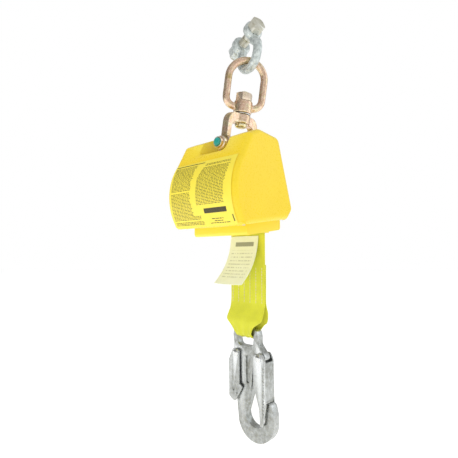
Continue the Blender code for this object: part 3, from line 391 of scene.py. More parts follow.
def joined(item, shape, place):
    """Add one more closed body to a piece's mesh."""
    extra = put("extra", shape, place)
    whole = bmesh.new()
    whole.from_mesh(item.data)
    whole.from_mesh(extra.data)
    whole.to_mesh(item.data)
    whole.free()
    bpy.data.objects.remove(extra, do_unlink=True)
    return item


def remeshed(item, voxel, passes):
    """Fuse overlapping solids into one skin of small faces and relax it, as a forging's fillets are."""
    step = item.modifiers.new("skin", 'REMESH')
    step.mode = 'VOXEL'
    step.voxel_size = voxel * MM
    relax = item.modifiers.new("relax", 'SMOOTH')
    relax.factor = 0.5
    relax.iterations = passes
    return applied(item)


def rounded(item, width, segments=3, angle=35):
    step = item.modifiers.new("edges", 'BEVEL')
    step.width = width * MM
    step.segments = segments
    step.limit_method = 'ANGLE'
    step.angle_limit = math.radians(angle)
    return applied(item)


def uneven(item, size, amount):
    """Slight unevenness of a forged, cast or moulded skin, in millimetres."""
    mesh = item.data
    normals = [v.normal.copy() for v in mesh.vertices]
    for vertex, normal in zip(mesh.vertices, normals):
        vertex.co += normal * (noise.noise(vertex.co / (size * MM)) * amount * MM)
    return item


def settle(item, body, slot, *nodes, sharp=40):
    """Shade it, ride it on its body and stand it for its CAD nodes."""
    item.data.shade_smooth()
    item.data.set_sharp_from_angle(angle=math.radians(sharp))
    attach(item, body)
    if nodes:
        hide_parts(*nodes)
    return item


# ---------------------------------------------------------------- materials

class Look:
    """A Principled material whose colour, roughness and relief come from procedural textures."""

    def __init__(self, name, roughness, metallic=0.0, **sockets):
        self.material = bpy.data.materials.new(name)
        self.material.use_nodes = True
        self.tree = self.material.node_tree
        self.shader = self.tree.nodes["Principled BSDF"]
        self.shader.inputs["Metallic"].default_value = metallic
        self.coords = self.node("ShaderNodeTexCoord").outputs["Object"]
        self.relief = None
        for label, value in sockets.items():
            self.shader.inputs[label.replace("_", " ")].default_value = value
        self.rough(*roughness)

    def node(self, kind, **values):
        made = self.tree.nodes.new(kind)
        for label, value in values.items():
            setattr(made, label, value)
        return made

    def link(self, start, end):
        self.tree.links.new(start, end)

    def noise(self, scale, detail=4.0, stretch=(1, 1, 1)):
        spread = self.node("ShaderNodeMapping")
        spread.inputs["Scale"].default_value = stretch
        self.link(self.coords, spread.inputs["Vector"])
        texture = self.node("ShaderNodeTexNoise")
        texture.inputs["Scale"].default_value = scale
        texture.inputs["Detail"].default_value = detail
        self.link(spread.outputs["Vector"], texture.inputs["Vector"])
        return texture.outputs["Fac"]

    def ramp(self, source, stops):
        ramp = self.node("ShaderNodeValToRGB")
        elements = ramp.color_ramp.elements
        while len(elements) < len(stops):
            elements.new(0.5)
        for element, (position, colour) in zip(elements, stops):
            element.position = position
            element.color = (*colour, 1.0)
        self.link(source, ramp.inputs["Fac"])
        return ramp.outputs["Color"]

    def mix(self, share, one, other, blend='MIX'):
        mixer = self.node("ShaderNodeMix", data_type='RGBA', blend_type=blend)
        sockets = (mixer.inputs["Factor"], mixer.inputs[6], mixer.inputs[7])
        for source, socket in zip((share, one, other), sockets):
            if isinstance(source, bpy.types.NodeSocket):
                self.link(source, socket)
            elif isinstance(source, float):
                socket.default_value = source
            else:
                socket.default_value = (*source, 1.0)
        return mixer.outputs[2]

    def colour(self, source):
        self.link(source, self.shader.inputs["Base Color"])
        return self

    def rough(self, low, high, scale=700.0):
        spread = self.node("ShaderNodeMapRange")
        spread.inputs["To Min"].default_value = low
        spread.inputs["To Max"].default_value = high
        spread.inputs["From Min"].default_value = 0.3
        spread.inputs["From Max"].default_value = 0.7
        self.link(self.noise(scale), spread.inputs["Value"])
        self.link(spread.outputs["Result"], self.shader.inputs["Roughness"])

    def bump(self, source, strength, distance):
        step = self.node("ShaderNodeBump")
        step.inputs["Strength"].default_value = strength
        step.inputs["Distance"].default_value = distance * MM
        self.link(source, step.inputs["Height"])
        if self.relief is not None:
            self.link(self.relief, step.inputs["Normal"])
        self.relief = step.outputs["Normal"]
        self.link(self.relief, self.shader.inputs["Normal"])
        return self

    def worn(self, base, edge, low=0.51, high=0.56):
        """Mix in an edge colour where the surface turns sharply outwards."""
        point = self.node("ShaderNodeNewGeometry").outputs["Pointiness"]
        spread = self.node("ShaderNodeMapRange")
        spread.inputs["From Min"].default_value = low
        spread.inputs["From Max"].default_value = high
        self.link(point, spread.inputs["Value"])
        return self.mix(spread.outputs["Result"], base, edge)

    def wave(self, axis, pitch):
        """A sine of the object's coordinate along an axis, from -1 to 1; pitch is in millimetres."""
        split = self.node("ShaderNodeSeparateXYZ")
        self.link(self.coords, split.inputs["Vector"])
        scaled = self.node("ShaderNodeMath", operation='MULTIPLY')
        self.link(split.outputs[axis], scaled.inputs[0])
        scaled.inputs[1].default_value = 2 * math.pi / (pitch * MM)
        result = self.node("ShaderNodeMath", operation='SINE')
        self.link(scaled.outputs[0], result.inputs[0])
        return result.outputs[0]

    def calc(self, operation, one, other):
        """A Math node on a socket and a second socket or number."""
        made = self.node("ShaderNodeMath", operation=operation)
        self.link(one, made.inputs[0])
        if isinstance(other, bpy.types.NodeSocket):
            self.link(other, made.inputs[1])
        else:
            made.inputs[1].default_value = other
        return made.outputs[0]

    def between(self, source, low, high):
        """One where a number lies between two limits, nought elsewhere."""
        above = self.calc('GREATER_THAN', source, low)
        return self.calc('MULTIPLY', above, self.calc('LESS_THAN', source, high))


def metal(name, stops, edge, roughness, metallic, size=260.0, relief=0.06, grain=1500.0):
    look = Look(name, roughness, metallic)
    look.colour(look.worn(look.ramp(look.noise(size, 6.0), stops), edge))
    look.bump(look.noise(grain, 6.0), 0.35, relief)
    return look.material


def galvanised():
    look = Look("galvanised_zinc", (0.42, 0.62), 0.62)
    base = look.ramp(look.noise(330.0, 8.0), [(0.32, (0.40, 0.44, 0.43)), (0.48, (0.55, 0.60, 0.585)),
                                            (0.66, (0.72, 0.77, 0.75))])
    flecks = look.ramp(look.noise(1400.0, 3.0), [(0.60, (0, 0, 0)), (0.72, (1, 1, 1))])
    flecked = look.mix(flecks, base, (0.86, 0.90, 0.88))
    look.colour(look.worn(flecked, (0.80, 0.84, 0.82)))
    look.bump(look.noise(700.0, 6.0), 0.5, 0.25)
    return look.material


def chromate():
    look = Look("yellow_chromate", (0.20, 0.36), 0.86)
    base = look.ramp(look.noise(95.0, 3.0), [(0.30, (0.58, 0.44, 0.20)), (0.42, (0.84, 0.68, 0.45)),
                                           (0.52, (0.86, 0.62, 0.48)), (0.62, (0.90, 0.76, 0.54)),
                                           (0.74, (0.66, 0.60, 0.32))])
    streak = look.ramp(look.noise(420.0, 5.0), [(0.35, (0.80, 0.72, 0.66)), (0.62, (1.0, 1.0, 1.0))])
    tinted = look.mix(1.0, base, streak, 'MULTIPLY')
    look.colour(look.worn(tinted, (0.96, 0.88, 0.72)))
    look.bump(look.noise(1300.0, 5.0), 0.3, 0.05)
    return look.material


def moulded(name, base, pale, roughness, texture=2600.0, depth=0.05):
    look = Look(name, roughness, 0.0, Coat_Weight=0.10, Coat_Roughness=0.12, Specular_IOR_Level=0.30)
    drift = look.ramp(look.noise(22.0, 2.0), [(0.3, base), (0.75, tuple(c * 0.955 for c in base))])
    look.colour(look.worn(drift, pale, 0.505, 0.54))
    look.bump(look.noise(texture, 3.0), 0.25, depth)
    look.bump(look.noise(45.0, 2.0), 0.12, 0.35)
    return look.material


def printed_film():
    look = Look("label_film", (0.38, 0.52), 0.0, Coat_Weight=0.10, Coat_Roughness=0.3)
    look.colour(look.ramp(look.noise(60.0, 3.0), [(0.3, (0.98, 0.82, 0.080)), (0.7, (0.95, 0.78, 0.065))]))
    look.bump(look.noise(900.0, 4.0), 0.12, 0.04)
    return look.material


def ink():
    look = Look("label_ink", (0.5, 0.7), 0.0)
    stops = [(0.3, (0.045, 0.040, 0.02)), (0.75, (0.10, 0.085, 0.03))]
    look.colour(look.ramp(look.noise(900.0, 4.0), stops))
    look.bump(look.noise(2500.0, 3.0), 0.2, 0.02)
    return look.material


# A woven cloth; its shade colour is painted shade, laid into the furrows of its weave.
def woven(name, base, shade, pitch=1.25, depth=0.22):
    look = Look(name, (0.62, 0.82), 0.0, Sheen_Weight=0.25, Sheen_Roughness=0.45)
    rib = look.wave("X", pitch)
    pick = look.wave("Z", pitch * 1.5)
    weave = look.calc('MULTIPLY', rib, pick)
    tone = look.ramp(look.noise(120.0, 5.0), [(0.3, base), (0.72, tuple(c * 0.90 for c in base))])
    # Painted shade: the weave's furrows are darkened towards the shade colour, which is multiplied into the
    # base tone.
    painted_furrow_shade = look.ramp(weave, [(0.0, shade), (0.55, (1, 1, 1))])
    look.colour(look.mix(1.0, tone, painted_furrow_shade, 'MULTIPLY'))
    look.bump(weave, 0.7, depth)
    look.bump(look.noise(3500.0, 3.0), 0.3, 0.06)
    return look.material


# Print on the cloth tag. Ranges are shares of its length (up) or its width (across).
PRINT_ROWS = 14.0
PRINT_ROW_INKED = (0.30, 0.62)     # share of each row that carries dashes
PRINT_UP = (0.12, 0.74)
PRINT_ACROSS = (0.10, 0.88)
PRINT_BAR_UP = (0.81, 0.89)
PRINT_BAR_ACROSS = (0.20, 0.86)
PRINT_DASHES = 26.0                # noise scale along a row
PRINT_ROW_SHIFT = 5.3              # keeps the rows' dashes apart
PRINT_DASH_LEVEL = 0.47            # noise above this prints
PRINT_ROW_INK = 0.35
PRINT_BAR_INK = 0.75


def printed_cloth():
    """Pale cloth with a dark bar and rows of short dashes, laid out on the tag's own shares."""
    look = Look("tag_cloth", (0.62, 0.80), 0.0, Sheen_Weight=0.15)
    split = look.node("ShaderNodeSeparateXYZ")
    look.link(look.node("ShaderNodeTexCoord").outputs["UV"], split.inputs["Vector"])
    across, up = split.outputs["X"], split.outputs["Y"]
    row = look.calc('MULTIPLY', up, PRINT_ROWS)
    inside = look.between(look.calc('FRACT', row, 0.0), *PRINT_ROW_INKED)
    inside = look.calc('MULTIPLY', inside, look.between(up, *PRINT_UP))
    spot = look.node("ShaderNodeCombineXYZ")
    look.link(look.calc('MULTIPLY', across, PRINT_DASHES), spot.inputs["X"])
    look.link(look.calc('MULTIPLY', look.calc('FLOOR', row, 0.0), PRINT_ROW_SHIFT), spot.inputs["Y"])
    words = look.node("ShaderNodeTexNoise")
    words.inputs["Scale"].default_value = 1.0
    look.link(spot.outputs["Vector"], words.inputs["Vector"])
    dashes = look.calc('GREATER_THAN', words.outputs["Fac"], PRINT_DASH_LEVEL)
    rows = look.calc('MULTIPLY', look.calc('MULTIPLY', dashes, inside),
                     look.between(across, *PRINT_ACROSS))
    bar = look.calc('MULTIPLY', look.between(up, *PRINT_BAR_UP), look.between(across, *PRINT_BAR_ACROSS))
    print_mask = look.calc('ADD', look.calc('MULTIPLY', rows, PRINT_ROW_INK),
                           look.calc('MULTIPLY', bar, PRINT_BAR_INK))
    cloth = look.ramp(look.noise(160.0, 5.0), [(0.3, (0.88, 0.92, 0.74)), (0.72, (0.84, 0.89, 0.68))])
    look.colour(look.mix(print_mask, cloth, (0.14, 0.15, 0.10)))
    weave = look.calc('MULTIPLY', look.wave("X", 0.5), look.wave("Z", 0.6))
    look.bump(weave, 0.4, 0.04)
    look.bump(look.noise(300.0, 4.0), 0.3, 0.15)
    return look.material


def make_looks():
    grey = [(0.30, (0.34, 0.35, 0.33)), (0.52, (0.50, 0.51, 0.49)), (0.72, (0.62, 0.63, 0.61))]
    return {
        "galvanised": galvanised(),
        "bolt_steel": metal("bolt_zinc", [(0.3, (0.36, 0.33, 0.20)), (0.55, (0.55, 0.53, 0.42)),
                                          (0.75, (0.66, 0.66, 0.58))],
                            (0.82, 0.82, 0.76), (0.32, 0.5), 0.75),
        "chromate": chromate(),
        "brass_rivet": metal("brass", [(0.3, (0.58, 0.44, 0.14)), (0.6, (0.86, 0.72, 0.34))],
                             (0.95, 0.88, 0.60), (0.2, 0.34), 0.9),
        "plug": moulded("teal_plastic", (0.012, 0.30, 0.26), (0.08, 0.46, 0.40), (0.30, 0.42)),
        "shell": moulded("shell_plastic", (0.97, 0.690, 0.010), (1.0, 0.80, 0.08), (0.24, 0.34)),
        "label": printed_film(),
        "ink": ink(),
        "pan": moulded("pan_plastic", (0.97, 0.715, 0.012), (1.0, 0.80, 0.08), (0.30, 0.42)),
        "guide": moulded("guide_nylon", (0.80, 0.60, 0.03), (0.95, 0.80, 0.15), (0.35, 0.5)),
        "steel": metal("frame_steel", grey, (0.74, 0.75, 0.75), (0.28, 0.42), 0.95),
        "lining": moulded("friction_lining", (0.12, 0.075, 0.05), (0.22, 0.15, 0.10), (0.75, 0.92),
                          1200.0, 0.2),
        "aluminium": metal("turned_aluminium", [(0.3, (0.66, 0.67, 0.68)), (0.7, (0.80, 0.81, 0.82))],
                           (0.90, 0.91, 0.92), (0.25, 0.4), 0.95),
        "spring_steel": metal("blued_spring", [(0.3, (0.20, 0.23, 0.29)), (0.7, (0.34, 0.37, 0.43))],
                              (0.55, 0.58, 0.62), (0.22, 0.34), 0.95),
        # The third colour of each woven look is the painted shade in its weave's furrows.
        "web": woven("lime_web", (0.93, 0.90, 0.055), (0.80, 0.84, 0.60)),
        "thread": woven("stitch_thread", (0.96, 0.90, 0.55), (0.92, 0.88, 0.84), 0.4, 0.05),
        "tag": printed_cloth(),
        "zinc": metal("zinc_plate", [(0.30, (0.24, 0.24, 0.21)), (0.50, (0.34, 0.35, 0.33)),
                                     (0.72, (0.47, 0.49, 0.48))], (0.80, 0.82, 0.82), (0.22, 0.36), 0.95,
                      300.0, 0.10),
        "rivet": metal("bright_rivet", [(0.3, (0.66, 0.67, 0.66)), (0.7, (0.80, 0.81, 0.80))],
                       (0.92, 0.93, 0.93), (0.18, 0.3), 0.95),
    }


# ---------------------------------------------------------------- anchor shackle

def hex_head(low, high, flats, axis, phase):
    """A plain hexagonal prism and the radius of its corners; make_hex turns its outer rim to a chamfer at
    its high end.
    """
    corner = flats / math.sqrt(3)
    body = turned([(0, low), (corner, low), (corner, high), (0, high)], axis, sides=6, phase=phase)
    return body, corner


def chamfer_lens(low, high, corner, flats, axis, both=False):
    drop = (corner - flats / 2) * 0.62
    near = corner + 0.3
    start = [(0, low), (flats / 2 - 0.1, low), (near, low + drop)] if both else [(0, low), (near, low)]
    return turned(start + [(near, high - drop), (flats / 2 - 0.1, high), (0, high)], axis, sides=72)


def make_hex(name, low, high, flats, axis, phase, place, look, both=False):
    shape, corner = hex_head(low, high, flats, axis, phase)
    item = put(name, shape, place, look)
    boolean(item, chamfer_lens(low, high, corner, flats, axis, both), place, 'INTERSECT')
    return rounded(item, 0.28, 2)


def threaded(radius, start, stop, pitch, depth):
    """Profile points of a run of thread, crest and root in turn."""
    points = []
    turns = int(abs(stop - start) / pitch)
    step = (stop - start) / turns
    for k in range(turns):
        points.append((radius - depth, start + step * (k + 0.1)))
        points.append((radius, start + step * (k + 0.5)))
        points.append((radius - depth, start + step * (k + 0.9)))
    return points


def make_shackle(looks):
    inner_leg = JAW / 2 + BOW_ROD / 2 - 0.7
    bend = arc((0, BOW_RADIUS - BOW_DEPTH), BOW_RADIUS, -188, 8, 56)
    path = [(-inner_leg, -2), (-inner_leg, -EAR_TO_FLARE)] + bend
    path += [(inner_leg, -EAR_TO_FLARE), (inner_leg, -2)]
    shapes = [sweep([(x, 0, z) for x, z in path], (0, 1, 0), BOW_ROD / 2)]
    for side in (-1, 1):
        low = side * (JAW + EAR_THICK) / 2 - EAR_THICK / 2
        shapes.append(rod(EAR_RADIUS, low, low + EAR_THICK, 'X', ease=2.0))
    bow = remeshed(put("shackle_forging", merged(shapes), SHACKLE, looks["galvanised"]), 0.42, 7)
    uneven(bow, 3.2, 0.22)
    far = JAW / 2 + EAR_THICK
    boolean(bow, rod(BOLT_RADIUS + GAP, -far - 9, far + 9, 'X', ease=0.1), SHACKLE)
    settle(bow, "shackle", "galvanised", "shackle_bow")

    end = -far - NUT_HEIGHT - BOLT_STUB
    head = far + GAP
    profile = [(0, end), (BOLT_RADIUS - 1.0, end)] + threaded(BOLT_RADIUS, end + 0.8, 1.0, 1.5, 0.55)
    profile += [(BOLT_RADIUS, 2.0), (BOLT_RADIUS, head + 1), (0, head + 1)]
    bolt = make_hex("shackle_bolt_turned", head, head + HEAD_HEIGHT, HEAD_FLATS, 'X', 0.4, SHACKLE,
                    looks["bolt_steel"])
    joined(bolt, turned(profile, 'X', sides=48), SHACKLE)
    settle(bolt, "shackle", "bolt_steel", "shackle_bolt", sharp=28)

    nut = make_hex("shackle_nut_forged", -far - GAP - NUT_HEIGHT, -far - GAP, NUT_FLATS, 'X', 0.2, SHACKLE,
                   looks["galvanised"], both=True)
    boolean(nut, rod(BOLT_RADIUS + GAP, -far - 12, -far + 2, 'X', ease=0.1), SHACKLE)
    settle(nut, "shackle", "galvanised", "shackle_nut", sharp=28)


# ---------------------------------------------------------------- swivel eye and clevis

def make_eye(looks):
    half = (RING_INNER_WIDTH + RING_ROD) / 2
    foot = RING_FOOT_ROUND
    path = arc((0, RING_TOP - half), half, 0, 180, 44)
    path += arc((foot - half, foot - RING_LOW), foot, 180, 270, 20)
    path += arc((half - foot, foot - RING_LOW), foot, 270, 360, 20)
    ring = sweep([(x, 0, z) for x, z in path], (0, 1, 0), RING_ROD / 2, closed=True)
    boss = turned(eased(BOSS_RADIUS, BOSS_LOW, BOSS_HIGH, 1.3))
    eye = remeshed(put("swivel_eye_forging", merged([ring, boss]), EYE, looks["chromate"]), 0.38, 6)
    uneven(eye, 5.0, 0.08)
    boolean(eye, rod(STUD_RADIUS + GAP, BOSS_LOW - 2, BOSS_HIGH + 4, ease=0.1), EYE)
    settle(eye, "eye", "chromate", "swivel_eye")


def make_clevis(looks):
    top = BRIDGE_TO_PIN
    outer, inner = CLEVIS_SPAN / 2, CLEVIS_SPAN / 2 - CLEVIS_LEG
    outline = filleted([(-outer, 0, 0), (-outer, top, CLEVIS_SHOULDER), (outer, top, CLEVIS_SHOULDER),
                        (outer, 0, 0), (inner, 0, 0), (inner, top - BRIDGE_THICK, 7),
                        (-inner, top - BRIDGE_THICK, 7), (-inner, 0, 0)])
    shapes = [prism(outline, -CLEVIS_BAR / 2, CLEVIS_BAR / 2)]
    for side in (-1, 1):
        low = side * (outer + inner) / 2 - CLEVIS_LEG / 2
        shapes.append(rod(CLEVIS_EAR_RADIUS, low, low + CLEVIS_LEG, 'Y', ease=1.2))
    shapes.append(rod(BOSS_RADIUS - 0.4, top - BRIDGE_THICK, top, ease=1.4))
    yoke = remeshed(put("clevis_forging", merged(shapes), CLEVIS, looks["chromate"]), 0.38, 9)
    uneven(yoke, 5.0, 0.08)
    boolean(yoke, rod(PIN_RADIUS + GAP, -outer - 3, outer + 3, 'Y', ease=0.1), CLEVIS)
    boolean(yoke, rod(STUD_RADIUS + GAP, top - BRIDGE_THICK - 3, top + 3, ease=0.1), CLEVIS)
    settle(yoke, "clevis", "chromate", "clevis")

    low = PIN_BELOW_BOW + BOSS_HIGH + GAP
    high = low + SWIVEL_NUT_HEIGHT
    under = top - BRIDGE_THICK - GAP
    profile = [(0, under - STUD_HEAD_HEIGHT)]
    profile += [(STUD_HEAD_RADIUS * math.sin(a), under - 1.2 - (STUD_HEAD_HEIGHT - 1.2) * math.cos(a) ** 0.7)
                for a in [math.pi / 2 * (k + 1) / 8 for k in range(7)]]
    profile += [(STUD_HEAD_RADIUS, under - 1.2), (STUD_HEAD_RADIUS, under), (STUD_RADIUS, under),
                (STUD_RADIUS, high + 0.6), (STUD_RADIUS - 1, high + 1.6), (0, high + 1.6)]
    stud = put("swivel_stud_headed", turned(profile, sides=48), CLEVIS, looks["brass_rivet"])
    settle(stud, "clevis", "brass_rivet", "swivel_stud")
    nut = make_hex("swivel_nut_castle", low, high, SWIVEL_NUT_FLATS, 'Z', 0.0, CLEVIS, looks["chromate"])
    boolean(nut, rod(STUD_RADIUS + GAP, low - 2, high + 2, ease=0.1), CLEVIS)
    settle(nut, "clevis", "chromate", "swivel_nut", sharp=28)
    washer = put("swivel_washer_ring", tube(BOSS_RADIUS - 0.6, STUD_RADIUS + GAP, top + GAP,
                                            top + GAP + WASHER_THICK), CLEVIS, looks["steel"])
    settle(washer, "clevis", "steel", "swivel_washer")


def make_pin(looks):
    outer = CLEVIS_SPAN / 2
    head = -outer - GAP
    face = head - PIN_HEAD_HEIGHT
    groove = outer + GAP
    tail = groove + 1.2 + 4.0
    rim = PIN_HEAD_RADIUS - 1.5
    profile = [(0, face + 2), (PLUG_RADIUS + GAP, face + 2), (PLUG_RADIUS + GAP, face + 0.3),
               (PLUG_RADIUS + GAP + 0.3, face), (rim - 0.3, face), (rim, face + 0.3), (rim, face + 2.2),
               (rim + 0.3, face + 2.8), (PIN_HEAD_RADIUS - 0.4, face + 3.2), (PIN_HEAD_RADIUS, face + 3.7),
               (PIN_HEAD_RADIUS, head - 0.5), (PIN_HEAD_RADIUS - 0.5, head), (PIN_RADIUS, head),
               (PIN_RADIUS, groove), (PIN_RADIUS - 1, groove), (PIN_RADIUS - 1, groove + 1.8),
               (PIN_RADIUS, groove + 1.8), (PIN_RADIUS, tail - 1), (PIN_RADIUS - 1, tail), (0, tail)]
    pin = put("clevis_pin_turned", turned(profile, 'Y'), CLEVIS, looks["chromate"])
    settle(pin, "clevis", "chromate", "clevis_pin", sharp=28)
    dome = [(PLUG_RADIUS * math.sin(a), face - 0.4 - (PLUG_PROUD - 0.4) * math.cos(a))
            for a in [math.pi / 2 * (k + 1) / 10 for k in range(10)]]
    plug = put("pin_plug_domed", turned([(0, face - PLUG_PROUD)] + dome
                                        + [(PLUG_RADIUS, face + 2 - GAP), (0, face + 2 - GAP)], 'Y'),
               CLEVIS, looks["plug"])
    settle(plug, "clevis", "plug", "pin_plug")


# ---------------------------------------------------------------- housing

def front_arc(steps):
    """The curved front of the shell in Y and Z, top to bottom, with its centre and radius."""
    top, low = Vector(LABEL_TOP), Vector(LABEL_BOTTOM)
    chord = (low - top).length
    radius = (chord ** 2 / 4 + LABEL_BULGE ** 2) / (2 * LABEL_BULGE)
    hub = (top + low) / 2 + Vector((radius - LABEL_BULGE, 0))
    half = math.degrees(math.asin(chord / 2 / radius))
    return arc(hub, radius, 180 - half, 180 + half, steps), hub, radius, half


FRONT_STEPS = 40


def housing_corners():
    front = front_arc(FRONT_STEPS)[0]
    corners = [(*LABEL_TOP, 3.0)] + [(y, z, 0) for y, z in front[1:-1]]
    corners += [(*LABEL_BOTTOM, 5.0), (*BASE_BACK, 5.0), (*BACK_BOTTOM, 7.0), (*BACK_TOP, 7.0),
                (*RIDGE, 8.0), (*FRONT_SHOULDER, 5.0)]
    return corners


def shell_ring(corners, distance):
    """The outline moved inwards, its corner radii shrinking with it."""
    moved = inset([(a, b) for a, b, _ in corners], distance)
    return filleted([(a, b, 0 if r == 0 else max(r - distance * 0.8, 0.6))
                     for (a, b), (_, _, r) in zip(moved, corners)], 8)


def lofted(rings):
    """Closed solid through outlines of equal length; each is (x, points)."""
    shape = bmesh.new()
    rows = [[shape.verts.new((x, y, z)) for y, z in points] for x, points in rings]
    shape.faces.new(rows[0])
    shape.faces.new(list(reversed(rows[-1])))
    for low, high in zip(rows, rows[1:]):
        for k in range(len(low)):
            n = (k + 1) % len(low)
            shape.faces.new([low[k], low[n], high[n], high[k]])
    return shape


def make_shell(looks):
    corners = housing_corners()
    steps = 8
    rings = []
    for end, sign in ((HOUSING_LEFT, 1), (HOUSING_RIGHT, -1)):
        side = []
        for k in range(steps + 1):
            angle = math.pi / 2 * k / steps
            distance = END_ROUND * (1 - math.sin(angle))
            side.append((end + sign * END_ROUND * (1 - math.cos(angle)), shell_ring(corners, distance)))
        rings += side if sign > 0 else side[::-1]
    shell = put("housing_moulding", lofted(rings), HOUSING, looks["shell"])
    plain = inset([(a, b) for a, b, _ in corners], WALL)
    low_front, low_back = plain[FRONT_STEPS], plain[FRONT_STEPS + 1]
    hollow = plain[:FRONT_STEPS + 1] + [(low_front[0], low_front[1] - 15), (low_back[0], low_back[1] - 25)]
    hollow += plain[FRONT_STEPS + 1:]
    half = SLOT_WIDTH / 2
    cavity = put("cavity", prism(hollow, HOUSING_LEFT + WALL, HOUSING_RIGHT - WALL), HOUSING)
    boolean(cavity, block((-half - WALL, -70, SLOT_FLOOR - WALL + 0.6), (half + WALL, 70, 40)), HOUSING)
    step = shell.modifiers.new("hollow", 'BOOLEAN')
    step.object = cavity
    applied(shell)
    bpy.data.objects.remove(cavity, do_unlink=True)
    slot = filleted([(-half, SLOT_FLOOR, 5), (half, SLOT_FLOOR, 5), (half, 40, 0), (-half, 40, 0)])
    boolean(shell, prism(slot, -70, 70, 'XZ'), HOUSING)
    inner = CLEVIS_SPAN / 2 - CLEVIS_LEG
    boolean(shell, block((-LUG_HALF, -inner, SLOT_FLOOR - 8), (LUG_HALF, inner, SLOT_FLOOR + 2)), HOUSING)
    rounded(shell, 0.35, 2, 42)
    settle(shell, "housing", "shell", "housing_shell", sharp=50)
    return low_front[0], low_back[0]


def make_pan(looks, opening):
    y_low, y_high = opening[0] + GAP, opening[1] - GAP
    plate = [(y_low, base_height(y_low) + 1), (y_high, base_height(y_high) + 1),
             (y_high, base_height(y_high) + 1 + PAN_THICK), (y_low, base_height(y_low) + 1 + PAN_THICK)]
    slab = prism(plate, HOUSING_LEFT + WALL + GAP, HOUSING_RIGHT - WALL - GAP)
    pan = put("base_pan_moulding", slab, HOUSING, looks["pan"])

    def lip(shrink, depth, top):
        front, back = LIP_Y[0] + shrink, LIP_Y[1] - shrink
        floor = LIP_DEPTH - depth
        return filleted([(front, base_height(front, floor), 3), (back, base_height(back, floor), 3),
                         (back, base_height(back) + top, 0), (front, base_height(front) + top, 0)], 6)

    boolean(pan, prism(lip(0, 0, 2.0), LIP_X[0], LIP_X[1]), HOUSING, 'UNION')
    boolean(pan, prism(lip(PAN_WALL, PAN_WALL, 12.0), LIP_X[0] + PAN_WALL, LIP_X[1] - PAN_WALL), HOUSING)
    slot_x = WEB_WIDTH / 2 + 2 * GAP + 2.0
    slot_y = WEB_THICK / 2 + 1.2 + 2.0 + GAP
    slot = block((CENTRE_X - slot_x, WEB_Y - slot_y, -110), (CENTRE_X + slot_x, WEB_Y + slot_y, -70))
    boolean(pan, slot, HOUSING)
    rounded(pan, 0.7, 3, 42)
    settle(pan, "housing", "pan", "base_pan", sharp=50)


LABEL_SIDES = (HOUSING_LEFT + 5.0, HOUSING_RIGHT - 4.0)


def label_point(u, v, rise):
    """A point on the label: u from 0 at its left to 1, v from 0 at its top to 1, rise off the shell."""
    _, hub, radius, half = front_arc(FRONT_STEPS)
    angle = math.radians(180 - half * 0.94 + 2 * half * 0.94 * v)
    reach = radius + rise
    return Vector((LABEL_SIDES[0] + (LABEL_SIDES[1] - LABEL_SIDES[0]) * u,
                   hub.x + reach * math.cos(angle), hub.y + reach * math.sin(angle)))


def patch(shape, u_range, v_range, low, high, columns=2, rows=2):
    """Add a thin closed slab that lies on the curved front."""
    grids = []
    for rise in (low, high):
        grid = []
        for r in range(rows):
            v = v_range[0] + (v_range[1] - v_range[0]) * r / (rows - 1)
            line = []
            for c in range(columns):
                u = u_range[0] + (u_range[1] - u_range[0]) * c / (columns - 1)
                line.append(shape.verts.new(label_point(u, v, rise)))
            grid.append(line)
        grids.append(grid)
    under, over = grids
    for r in range(rows - 1):
        for c in range(columns - 1):
            for grid in grids:
                shape.faces.new([grid[r][c], grid[r][c + 1], grid[r + 1][c + 1], grid[r + 1][c]])
    rim = [(0, c) for c in range(columns)] + [(r, columns - 1) for r in range(1, rows)]
    rim += [(rows - 1, c) for c in range(columns - 2, -1, -1)] + [(r, 0) for r in range(rows - 2, 0, -1)]
    for k, (r, c) in enumerate(rim):
        q, d = rim[(k + 1) % len(rim)]
        shape.faces.new([under[r][c], under[q][d], over[q][d], over[r][c]])


def print_line(shape, chance, start, stop, v, tall):
    """A row of dashes, like greeked words, between two shares of the label's width."""
    spot = start
    while spot < stop - 0.008:
        length = min(chance.uniform(0.014, 0.05), stop - spot)
        patch(shape, (spot, spot + length), (v, v + tall), 0.62, 0.70)
        spot += length + chance.uniform(0.007, 0.012)


def make_label(looks):
    film = bmesh.new()
    patch(film, (0.0, 1.0), (0.0, 1.0), GAP, GAP + 0.28, 30, 40)
    label = put("label_film", film, HOUSING, looks["label"])
    settle(label, "housing", "label", "warning_label", sharp=60)

    chance = random.Random(7)
    marks = bmesh.new()
    patch(marks, (0.02, 0.51), (0.034, 0.046), 0.62, 0.70, 8)
    row, pitch = 0.0, 0.0205
    while 0.075 + row * pitch < 0.97:
        v = 0.075 + row * pitch
        bow = 0.05 * math.sin(math.pi * min(max((v - 0.05) / 0.9, 0), 1))
        if chance.random() > 0.06:
            stop = 0.42 - bow - chance.uniform(0.0, 0.03)
            print_line(marks, chance, 0.03, stop + (0.10 if v > 0.82 else 0.0), v, 0.0075)
        if v < 0.69 and row != 2:
            start = 0.60 - 0.13 * min(v / 0.3, 1.0) ** 0.7 - bow * 0.3
            stop = 0.95 - 0.06 * min(v * 2, 1) - chance.uniform(0, 0.02)
            print_line(marks, chance, start, stop, v, 0.0075)
        row += 1
    patch(marks, (0.56, 0.90), (0.735, 0.805), 0.62, 0.70, 8, 3)
    for v, start, stop in ((0.885, 0.65, 0.83), (0.918, 0.68, 0.82), (0.950, 0.61, 0.91)):
        print_line(marks, chance, start, stop, v, 0.010)
    patch(marks, (0.962, 0.976), (0.85, 0.95), 0.62, 0.70, 2, 4)
    ink_piece = put("label_print", marks, HOUSING, looks["ink"])
    settle(ink_piece, "housing", "label")


# ---------------------------------------------------------------- web

